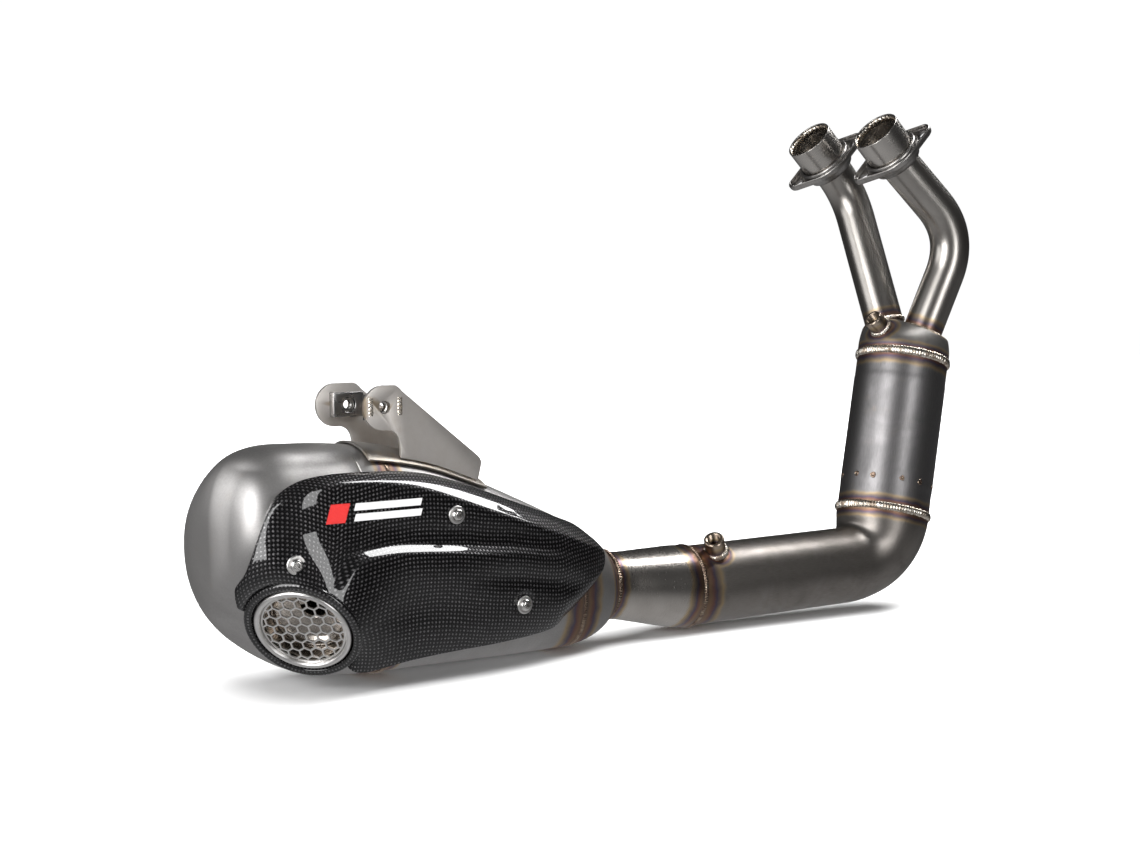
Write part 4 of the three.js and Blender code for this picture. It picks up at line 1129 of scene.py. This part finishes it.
# height of the upper crease and of the top of the step under the lettering, by x
UPPER_CREASE = arr((-704, 84), (-690, 138), (-668, 154), (-627, 160), (-570, 153), (-495, 127.5),
                   (-438, 107), (-377, 86))
STEP_TOP = arr((-704, 112), (-660, 113), (-629, 113), (-587, 112), (-542, 108), (-519, 105), (-480, 101),
               (-437, 93),
               (-400, 84), (-377, 79))
# how far the lower half stands out below the step, by x
STEP_RISE = arr((-704, 7.2), (-560, 7.2), (-519, 6.2), (-480, 4.4), (-437, 3.2), (-400, 1.2), (-385, 0),
                (-377, 0))

BEVEL_SLOPE = 0.95
CURL_HEIGHT = 8.5
TUCK_DEPTH, TUCK_SHARE = 8.1, 0.25
STEP_WIDTH = 7.4
BOLT_FLAT = (7.5, 12.5)


def line_height(line, x):
    return hermite(line[:, 0], line[:, 1:], x)[:, 0]


def ramped(share):
    """0 below 0, 1 above 1, straight between them with rounded corners."""
    ease = 0.02
    return 0.5 * (share + np.sqrt(share**2 + ease) - (share - 1) - np.sqrt((share - 1) ** 2 + ease))


def shield_relief(x, z, bottom, top):
    """How far the shield's face lies behind its plain curve."""
    crease, step_top, rise = (line_height(line, x[:, 0])[:, None]
                              for line in (UPPER_CREASE, STEP_TOP, STEP_RISE))
    over = z - crease
    bevelled = BEVEL_SLOPE / 2 * (over + np.sqrt(over**2 + 5))
    curled = 0.055 * np.maximum(0, z - (top - CURL_HEIGHT)) ** 2
    tucked = TUCK_DEPTH * np.clip(1 - (z - bottom) / (TUCK_SHARE * (top - bottom)), 0, 1) ** 2
    below = step_top - z
    ahead = x + 634 + 0.45 * (104 - z)
    inside = 0.5 * (below + ahead - np.sqrt((below - ahead) ** 2 + 36))
    bulge = rise * ramped(inside / STEP_WIDTH) * (1 - smoothstep(below, 16, 60))
    hollow = 1.3 * np.exp(-(((below + 8) / 9) ** 2)) * smoothstep(x, -660, -610) * smoothstep(x, -378, -430)
    lower_hollow = 2.0 * np.exp(-(((below - 26) / 9) ** 2)) * smoothstep(x, -540,
                                                                         -490) * smoothstep(x, -385, -420)
    shape = hollow + lower_hollow - bulge
    for spot, _ in SHIELD_BOLTS.values():
        apart = np.hypot(x - spot[0], z - spot[2])
        shape = shape * smoothstep(apart, *BOLT_FLAT)
    return bevelled + curled + tucked + shape


def shield_surface(columns, rows):
    """Grid of points on the shield, bottom edge to top, and how far along it each column lies."""
    knots = np.arange(len(SHIELD_STATIONS))
    fine = hermite(knots, SHIELD_STATIONS, np.linspace(0, len(knots) - 1, 900))
    run = lengths_along(fine[:, :2])
    stops = np.linspace(0, run[-1], columns)
    line = np.stack([np.interp(stops, run, fine[:, k]) for k in range(4)], axis=1)
    along = np.gradient(line[:, :2], axis=0)
    inward = np.stack([-along[:, 1], along[:, 0], np.zeros(columns)], axis=1)
    inward /= np.linalg.norm(inward, axis=1)[:, None]
    bottom, top = line[:, 2:3], line[:, 3:4]
    z = bottom + (top - bottom) * np.linspace(0, 1, rows)
    x = np.repeat(line[:, 0:1], rows, axis=1)
    flat = np.stack([x, np.repeat(line[:, 1:2], rows, axis=1), z], axis=2)
    behind = shield_relief(x, z, bottom, top)
    return flat + inward[:, None, :] * behind[..., None], stops


LIP_RADIUS, LIP_SETBACK = 45.5, 2.4
FUNNEL_REACH, FUNNEL_POWER = 33, 2.9


def flare(points):
    """Draws the sheet out to meet the outlet's lip in a smooth funnel."""
    off = points - OUTLET
    rise = off @ OUTLET_AXIS
    radial = np.linalg.norm(off - rise[..., None] * OUTLET_AXIS, axis=-1)
    near = np.clip(1 - (radial - LIP_RADIUS) / FUNNEL_REACH, 0, 1) ** FUNNEL_POWER
    lift = (-LIP_SETBACK - rise) * near
    return points + OUTLET_AXIS * lift[..., None]


LIP_TRIM = 44.8


def shield():
    """The woven skin: an open grid trimmed round the outlet, then given its thickness."""
    columns, rows = 360, 200
    outer, stops = shield_surface(columns, rows)
    outer = flare(outer)
    rise = np.concatenate([np.zeros((columns, 1)),
                           np.cumsum(np.linalg.norm(np.diff(outer, axis=1), axis=2), axis=1)], axis=1)
    uv = np.stack([np.repeat(stops[:, None], rows, axis=1), rise - rise[:, [rows // 2]] + 90], axis=2)
    off = outer - OUTLET
    along = off @ OUTLET_AXIS
    sideways = off - along[..., None] * OUTLET_AXIS
    radial = np.linalg.norm(sideways, axis=2)
    inside = (radial < LIP_TRIM) & (along > -60)
    solid = ~(inside[:-1, :-1] & inside[1:, :-1] & inside[:-1, 1:] & inside[1:, 1:])
    snapped = outer + sideways * (LIP_TRIM / np.maximum(radial, 1e-6) - 1)[..., None]
    outer = np.where(inside[..., None], snapped, outer)
    points, faces, corners = grid(outer, wrap_columns=False, uv=uv)
    flags = solid.ravel()
    faces = [face for face, keep in zip(faces, flags) if keep]
    corners = corners.reshape(-1, 4, 2)[flags].reshape(-1, 2)
    used = np.zeros(len(points), bool)
    used[np.array(faces).ravel()] = True
    number = np.cumsum(used) - 1
    faces = [[int(number[i]) for i in face] for face in faces]
    points = points[used]
    a, b, c = (points[faces[len(faces) // 2][k]] for k in range(3))
    if np.cross(b - a, c - a)[1] > 0:
        faces = [face[::-1] for face in faces]
        corners = corners.reshape(-1, 4, 2)[:, ::-1].reshape(-1, 2)
    sheet = piece("shield", points, faces, "carbon", uv=corners, slot="carbon", stands_for=["heat_shield"],
                  crease=40, closed=False)
    thick = sheet.modifiers.new("thick", "SOLIDIFY")
    thick.thickness = SHIELD_SHEET * MM
    thick.offset = -1
    bake(sheet)
    soften(sheet, 50)


carbon_cloth("carbon", decal=True)
carbon_cloth("carbon_ring")
shield()
lip_points, lip_faces, lip_uv = turned(
    rounded([[39.2, -3], [39.8, -0.2], [44.6, 0], [46, -1.6], [46, -27], [44.2, -27], [44.2, -3.2]], 0.8),
    OUTLET, OUTLET_AXIS, 160)
piece("shield_lip", lip_points, lip_faces, "carbon_ring", uv=lip_uv, slot="carbon")


# ---------------------------------------------------------------- outlet
def outlet():
    bezel = [[33.4, -5.4], [38.4, -5.4], [38.4, -2.2], [37.6, -0.3], [36.0, 0.5], [33.9, -0.4], [33.2, -2.6]]
    sleeve = [[30.6, -44], [32.4, -44], [32.4, -5.6], [30.6, -5.6]]
    insert = [[30.2, -18], [30.2, -23], [27, -26.5], [13.6, -31.5], [12.2, -34], [12.2, -62], [10.7, -62],
              [10.7, -32.5], [11.2, -30.2], [13, -29.2], [26, -24.2], [28.9, -21.5], [28.9, -18]]
    turned_piece("outlet_bezel_ring", rounded(bezel, 0.9), OUTLET, OUTLET_AXIS, "bezel_steel", 160,
                 slot="bright_steel", stands_for=["outlet_bezel"], crease=50)
    turned_piece("outlet_tube", rounded(sleeve, 0.3), OUTLET, OUTLET_AXIS, "inner_steel", 128,
                 slot="polished_steel", stands_for=["outlet_sleeve"])
    turned_piece("outlet_cone", rounded(insert, 0.8), OUTLET, OUTLET_AXIS, "inner_steel", 128,
                 slot="bright_steel", stands_for=["outlet_insert"])
    up = basis(OUTLET_AXIS)[0]
    start = OUTLET - OUTLET_AXIS * 13 + up * 19
    hexagon = circle(4.4, 6)
    side = np.cross(OUTLET_AXIS, up)
    points, faces = prism(hexagon, 0, 11.2, lambda a, b, d: start + OUTLET_AXIS * a + side * b + up * d)
    bolt = piece("outlet_bolt", points, faces, "inner_steel", slot="bright_steel",
                 stands_for=["insert_bolt"])
    bevel(bolt, 0.5, 2)


def grille():
    """Hexagonal mesh held behind the bezel, its webs rounded."""
    u, v = basis(OUTLET_AXIS)
    tilt = math.radians(4)
    right = unit(v * math.cos(tilt) + u * math.sin(tilt))
    up = np.cross(right, OUTLET_AXIS)
    base = OUTLET - OUTLET_AXIS * 4.0
    place = lambda a, b, d: base + right * a + up * b + OUTLET_AXIS * d
    pitch, cell, reach = 9.3, 4.62, 33.0
    rim = circle(reach, 120)
    points, faces = prism(rim, 0, 1.2, place)
    mesh = piece("outlet_mesh", points, faces, "bezel_steel", slot="bright_steel",
                 stands_for=["outlet_grille"])
    hole_points, hole_faces = [], []
    for row in range(-5, 6):
        for column in range(-5, 6):
            x, y = pitch * (column + (row % 2) / 2), pitch * row * math.sqrt(3) / 2
            if math.hypot(x, y) > reach + 4:
                continue
            hexagon = circle(cell, 6, math.radians(30), (x, y))
            more, faces = prism(hexagon, -3, 4, place)
            hole_faces += [[i + len(hole_points) for i in face] for face in faces]
            hole_points += more.tolist()
    inner_rim = rod_tool(base - OUTLET_AXIS * 2, base + OUTLET_AXIS * 5, 31.6, 120)
    holes = tool(np.array(hole_points), hole_faces)
    cut(holes, inner_rim, mode="INTERSECT")
    cut(mesh, holes)
    bevel(mesh, 0.28, 2)
    soften(mesh, 50)


steel("bezel_steel", (0.70, 0.685, 0.67), (0.82, 0.805, 0.79), 0.34, 0.04, streak=(700.0, 12.0),
      mottle=60.0, scratch=0.1)
outlet()
grille()


# ---------------------------------------------------------------- shield fasteners
def fasteners():
    for name, (spot, axis) in SHIELD_BOLTS.items():
        washer = [[3.4, 0.5], [7.4, 0.5], [7.3, 1.5], [6.6, 2.0], [3.4, 2.0]]
        turned_piece(f"washer_{name}", rounded(washer, 0.35), spot, axis, "bezel_steel", 64,
                     slot="bright_steel", stands_for=[f"shield_washer_{name}"])
        head = [[0.01, -9], [2.95, -9], [2.95, 2.1], [5.0, 2.1], [5.0, 2.7], [4.6, 3.7], [3.6, 4.7],
                [2.7, 5.1], [0.01, 5.1]]
        bolt = turned_piece(f"bolt_{name}", rounded(head, 0.3, 3), spot, axis, "machined_steel", 64,
                            slot="bright_steel", stands_for=[f"shield_bolt_{name}"])
        u, v = basis(axis)
        hexagon = circle(2.25, 6, 0.3)
        cut(bolt, tool(*prism(hexagon, 2.6, 8, lambda a, b, d: spot + u * a + v * b + axis * d)))
        soften(bolt, 35)


fasteners()


# ---------------------------------------------------------------- hanger
HANGER = arr(-576.3, 0, 214)
NEAR_Y, FAR_Y, PLATE = -10, 56, 3
# along X from HANGER: the slot welds, and the middles of the heat tint round them
SLOT_WELDS, SLOT_HEAT = (-12.2, 13.8), (-12, 14)


def arc(cx, cy, radius, start, end, count):
    return [(cx + radius * math.cos(t), cy + radius * math.sin(t)) for t in np.linspace(start, end, count)]


def curve(start, control, end, count=10):
    start, control, end = (np.array(point) for point in (start, control, end))
    steps = np.linspace(0, 1, count)[1:]
    return [tuple((1 - t) ** 2 * start + 2 * t * (1 - t) * control + t**2 * end) for t in steps]


def hanger_outline(reach):
    points = [(14 - reach, -60), (14 - reach, -32)]
    points += curve((14 - reach, -32), (13 - reach, -19), (3 - reach, -18))
    points += arc(-1 - reach, -0.5, 17.5, 1.56 * math.pi, math.pi / 2, 40)
    points += [(9, 17)]
    points += curve((9, 17), (12, 16.5), (16, 12))
    points += [(85, -42)]
    points += curve((85, -42), (90, -46), (88.5, -51))
    points += [(84, -68)]
    return points


def body_tool(grow):
    rings = skin_between(-460, -640)[::4]
    rings = rings + grid_normals(rings) * grow
    points, faces, _ = grid(rings)
    last = len(points) - BODY_SIDES
    faces += [list(range(BODY_SIDES)), list(range(last, last + BODY_SIDES))]
    return tool(points, faces)


def from_side(a, b, y):
    """A point a ahead of and b above the bolt hole's axis."""
    return arr(HANGER[0] + a, y, HANGER[2] + b)


def hanger_plates():
    for name, y, reach in (("near", NEAR_Y, 0), ("far", FAR_Y, 6.5)):
        points, faces = prism(hanger_outline(reach), y - PLATE / 2, y + PLATE / 2, from_side)
        plate = piece(f"hanger_{name}", points, faces, "plate_steel", slot="bracket_steel",
                      stands_for=[f"hanger_plate_{name}"])
        hole = rod_tool(from_side(0, 0, y - 6), from_side(0, 0, y + 6), 5.2, 64)
        cut(plate, hole, body_tool(4.4))
        bevel(plate, 0.5, 3)
        soften(plate, 40)
        off = (design_points(plate.data) - HANGER)[:, [0, 2]]
        gaps = [np.linalg.norm(off - arr(x, 0), axis=1) for x in SLOT_HEAT]
        set_heat(plate.data, glow(np.maximum(np.minimum(*gaps) - 5, 0), 7) * 0.5)


def hanger_bridge():
    """Web between the plates, with a weld along each side."""
    slope, web_start = unit(arr(69, -54)), arr(34, -2.6)
    down = arr(slope[1], -slope[0]) * 2.5
    corners = [web_start, web_start + slope * 40, web_start + slope * 40 + down, web_start + down]
    points, faces = prism([tuple(c) for c in corners], NEAR_Y + 1.7, FAR_Y - 1.7, from_side)
    web = piece("hanger_bridge", points, faces, "plate_steel", slot="bracket_steel",
                stands_for=["hanger_web"])
    bevel(web, 0.5, 2)
    for k, (y, way) in enumerate(((NEAR_Y + 1.6, 1), (FAR_Y - 1.6, -1))):
        ends = [web_start + down * 0.5 + slope * t for t in np.linspace(2, 38, 40)]
        path = np.array([from_side(a, b, y + 0.6 * way) for a, b in ends])
        lean = np.tile(arr(-0.3 * down[0], 0.5 * way, -0.3 * down[1]), (40, 1))
        bead(f"bridge_weld_{k}", path, lean, 1.9, 1.3, 61 + k, closed=False)


def saddle():
    """Strip bent over the muffler, under both plates."""
    rings = skin_between(-484, -592)
    normal = grid_normals(rings)
    spot = rings[len(rings) // 2]
    keep = np.where((spot[:, 1] > -13) & (spot[:, 1] < 60) & (spot[:, 2] > 120))[0]
    keep = keep[np.argsort(spot[keep, 1])]
    low = rings[:, keep] + normal[:, keep] * 1.0
    high = rings[:, keep] + normal[:, keep] * 3.0
    rows, columns = low.shape[:2]
    closed = np.concatenate([high, low[:, ::-1]], axis=1)
    points, faces, _ = grid(closed)
    width = closed.shape[1]
    for first in (0, (rows - 1) * width):
        faces += [[first + k, first + width - 1 - k, first + width - 2 - k, first + k + 1]
                  for k in range(columns - 1)]
    heat = 0.14 * smoothstep(np.abs(points[:, 1] + 10), 16, 2)
    strip = piece("saddle", points, faces, "saddle_steel", slot="bracket_steel",
                  stands_for=["hanger_saddle"], heat=heat)
    bevel(strip, 0.5, 2, 60)


def slot_welds():
    """Weld-filled slots where each nut cage is fixed through its plate."""
    for name, face_y, way in (("near", NEAR_Y - PLATE / 2, -1), ("far", FAR_Y + PLATE / 2, 1)):
        for k, x in enumerate(SLOT_WELDS):
            base = from_side(x, 0.5, face_y)
            path = np.array([base + UP * t for t in np.linspace(-7, 7, 30)])
            seed = 71 + k + (5 if way > 0 else 0)
            bead(f"slot_weld_{name}_{k}", path, np.tile(arr(0, way, 0), (30, 1)), 2.1, 0.9, seed, pitch=2.6,
                 closed=False, depth=0.5, rough=0.5)


def cages():
    for name, inner, way in (("near", NEAR_Y + PLATE / 2, 1), ("far", FAR_Y - PLATE / 2, -1)):
        half, depth, sheet, height = 13.5, 8.0, 1.5, 20.0
        reach = lambda d: inner + way * d
        outer = [(-half, 0.3), (-half, depth), (half, depth), (half, 0.3), (half - sheet, 0.3),
                 (half - sheet, depth - sheet), (sheet - half, depth - sheet), (sheet - half, 0.3)]
        points, faces = prism(outer, -height / 2, height / 2, lambda a, b, d: from_side(a, d, reach(b)))
        cage = piece(f"cage_{name}", points, faces, "cage_steel", slot="bright_steel",
                     stands_for=[f"nut_cage_{name}"])
        hole = rod_tool(from_side(0, 0, reach(depth - sheet - 1)), from_side(0, 0, reach(depth + 2)), 6.4, 64)
        cut(cage, hole)
        bevel(cage, 0.55, 3)
        soften(cage, 45)
        middle = reach((0.3 + depth - sheet) / 2)
        block = [(-8.5, -7.75), (8.5, -7.75), (8.5, 7.75), (-8.5, 7.75)]
        points, faces = prism(block, middle - 2.25, middle + 2.25, from_side)
        nut = piece(f"nut_{name}_block", points, faces, "nut_steel", body=f"nut_{name}",
                    slot="bright_steel", stands_for=[f"captive_nut_{name}"])
        bevel(nut, 0.6, 2)
        thread = [[0.01, -4.0], [4.3, -4.0], [4.3, -2.3]]
        at_height = -2.3
        while at_height < 2.2:
            thread += [[3.45, at_height + 0.3], [3.95, at_height + 0.3 + THREAD_PITCH / 2]]
            at_height += THREAD_PITCH
        thread += [[4.3, 2.5], [4.3, 4.0], [0.01, 4.0]]
        points, faces, _ = turned(thread, from_side(0, 0, middle), arr(0, 1, 0), 48)
        cut(nut, tool(points, faces))
        soften(nut, 30)


steel("saddle_steel", (0.40, 0.38, 0.36), (0.52, 0.50, 0.475), 0.40, 0.05, grain=0.15)
steel("cage_steel", (0.34, 0.33, 0.33), (0.50, 0.49, 0.485), 0.28, 0.05, mottle=70.0)
steel("nut_steel", (0.42, 0.41, 0.40), (0.60, 0.59, 0.57), 0.26, 0.05, mottle=90.0)
hanger_plates()
hanger_bridge()
saddle()
slot_welds()
cages()


# ---------------------------------------------------------------- pieces kept from the CAD
INSIDE = {
    "catalyst_core": "inner_steel", "catalyst_mantle": "satin_steel", "inlet_tube": "tube_steel",
    "crossover_tube": "tube_steel",
    "baffle_front": "satin_steel", "baffle_rear": "satin_steel", "shield_boss_rear": "satin_steel",
    "shield_boss_upper": "satin_steel", "shield_boss_lower": "satin_steel",
}
for node, finish in INSIDE.items():
    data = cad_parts[node].data
    data.materials.clear()
    data.materials.append(MATERIALS[finish])


# ---------------------------------------------------------------- stage, light and camera
FLOOR_DROP = -0.0004


def stage():
    floor = bpy.data.meshes.new("floor")
    size = 9.0
    corners = [(x * size, y * size, FLOOR_DROP) for x, y in ((-1, -1), (1, -1), (1, 1), (-1, 1))]
    floor.from_pydata(corners, [], [(0, 1, 2, 3)])
    paint = Paint("floor_paper", Roughness=0.9)
    grain = paint.noise(paint.spot(), 3.0, 3.0)
    paint.set(Base_Color=paint.ramp(grain, [(0.3, (0.86, 0.86, 0.86)), (0.7, (0.885, 0.885, 0.885))]))
    paint.put(paint.shader.inputs["Specular IOR Level"], 0.1)
    away = paint.node("VectorMath", {"operation": "LENGTH"})
    paint.put(away.inputs[0], paint.spot())
    paint.set(Emission_Color=(1, 1, 1, 1),
              Emission_Strength=paint.range(away.outputs["Value"], 0.7, 2.2, 0.0, 1.0))
    floor.materials.append(paint.material)
    ground = bpy.data.objects.new("floor", floor)
    bpy.context.scene.collection.objects.link(ground)
    ground.visible_glossy = False
    dome = bpy.data.meshes.new("backdrop")
    shell = bmesh.new()
    bmesh.ops.create_uvsphere(shell, u_segments=48, v_segments=24, radius=8.5)
    shell.to_mesh(dome)
    shell.free()
    light = bpy.data.materials.new("backdrop_white")
    light.use_nodes = True
    tree = light.node_tree
    tree.nodes.clear()
    glow_node = tree.nodes.new("ShaderNodeEmission")
    glow_node.inputs[0].default_value = (1, 1, 1, 1)
    glow_node.inputs[1].default_value = 1.02
    out = tree.nodes.new("ShaderNodeOutputMaterial")
    tree.links.new(glow_node.outputs[0], out.inputs[0])
    dome.materials.append(light)
    wall = bpy.data.objects.new("backdrop", dome)
    bpy.context.scene.collection.objects.link(wall)
    wall.visible_glossy = wall.visible_diffuse = wall.visible_shadow = wall.visible_transmission = False


def softbox(name, place, target, width, height, power, wide=(0, 0, 1), glossy=True):
    """Area light at place facing target; wide is the way its width runs."""
    light = bpy.data.lights.new(name, "AREA")
    light.shape = "RECTANGLE"
    light.size, light.size_y = width, height
    light.energy = power
    back = unit(arr(*place) - arr(*target))
    side = unit(arr(*wide) - back * (arr(*wide) @ back))
    rise = np.cross(back, side)
    lamp = bpy.data.objects.new(name, light)
    bpy.context.scene.collection.objects.link(lamp)
    lamp.matrix_world = Matrix([[side[k], rise[k], back[k], place[k]] for k in range(3)] + [[0, 0, 0, 1]])
    lamp.visible_camera = False
    lamp.visible_glossy = glossy
    return lamp


# brightness of the surroundings, from straight down to straight up
WORLD = [(0.0, 0.50), (0.25, 0.32), (0.40, 0.11), (0.47, 0.035), (0.58, 0.03), (1.0, 0.09)]


def studio():
    world = bpy.data.worlds.new("studio")
    bpy.context.scene.world = world
    world.use_nodes = True
    tree = world.node_tree
    place = tree.nodes.new("ShaderNodeTexCoord")
    split = tree.nodes.new("ShaderNodeSeparateXYZ")
    tree.links.new(place.outputs["Generated"], split.inputs[0])
    ramp = tree.nodes.new("ShaderNodeValToRGB")
    half = tree.nodes.new("ShaderNodeMath")
    half.operation = "MULTIPLY_ADD"
    half.inputs[1].default_value = half.inputs[2].default_value = 0.5
    tree.links.new(split.outputs[2], half.inputs[0])
    tree.links.new(half.outputs[0], ramp.inputs[0])
    elements = ramp.color_ramp.elements
    while len(elements) < len(WORLD):
        elements.new(0.5)
    for element, (position, level) in zip(elements, WORLD):
        element.position = position
        element.color = (level, level, level * 1.01, 1)
    background = tree.nodes["Background"]
    tree.links.new(ramp.outputs[0], background.inputs[0])
    background.inputs[1].default_value = 1.0

    middle = (0, 0, 0.15)
    softbox("overhead", (1.2, -0.13, 1.7), (-0.2, -0.05, 0.1), 1.45, 0.42, 30, wide=(0.952, 0.306, 0))
    softbox("camera_left", (-2.1, -0.55, 0.7), (0, 0, 0.2), 1.7, 1.25, 46)
    softbox("camera_right", (-0.1, -2.4, 0.6), (0.2, 0, 0.15), 1.4, 0.62, 15)
    softbox("left_back", (-2.2, 1.1, 0.9), middle, 1.4, 1.2, 12)
    softbox("floor_wash", (0.4, 0.6, 3.2), (0, 0, 0), 5.0, 5.0, 330, wide=(1, 0, 0), glossy=False)


SENSOR, LENS = 36, 53.6842
CAMERA_EYE = arr(-1235.623, -1165.521, 289.152)
# unit vectors to the right, down and ahead in the picture
CAMERA_AXES = (
    arr(0.80896, -0.58779, -0.00946),
    arr(-0.04858, -0.05080, -0.99753),
    arr(0.58585, 0.80742, -0.06965),
)


def camera():
    eye = to_frame(CAMERA_EYE)
    right, down, forward = CAMERA_AXES
    data = bpy.data.cameras.new("camera")
    data.lens = LENS
    data.sensor_width = SENSOR
    data.clip_start, data.clip_end = 0.05, 60
    thing = bpy.data.objects.new("camera", data)
    bpy.context.scene.collection.objects.link(thing)
    turn = Matrix((
        (right[0], -down[0], -forward[0], eye[0]),
        (right[1], -down[1], -forward[1], eye[1]),
        (right[2], -down[2], -forward[2], eye[2]),
        (0, 0, 0, 1),
    ))
    thing.matrix_world = turn
    bpy.context.scene.camera = thing


bpy.context.scene.view_settings.view_transform = "Standard"
stage()
studio()
camera()
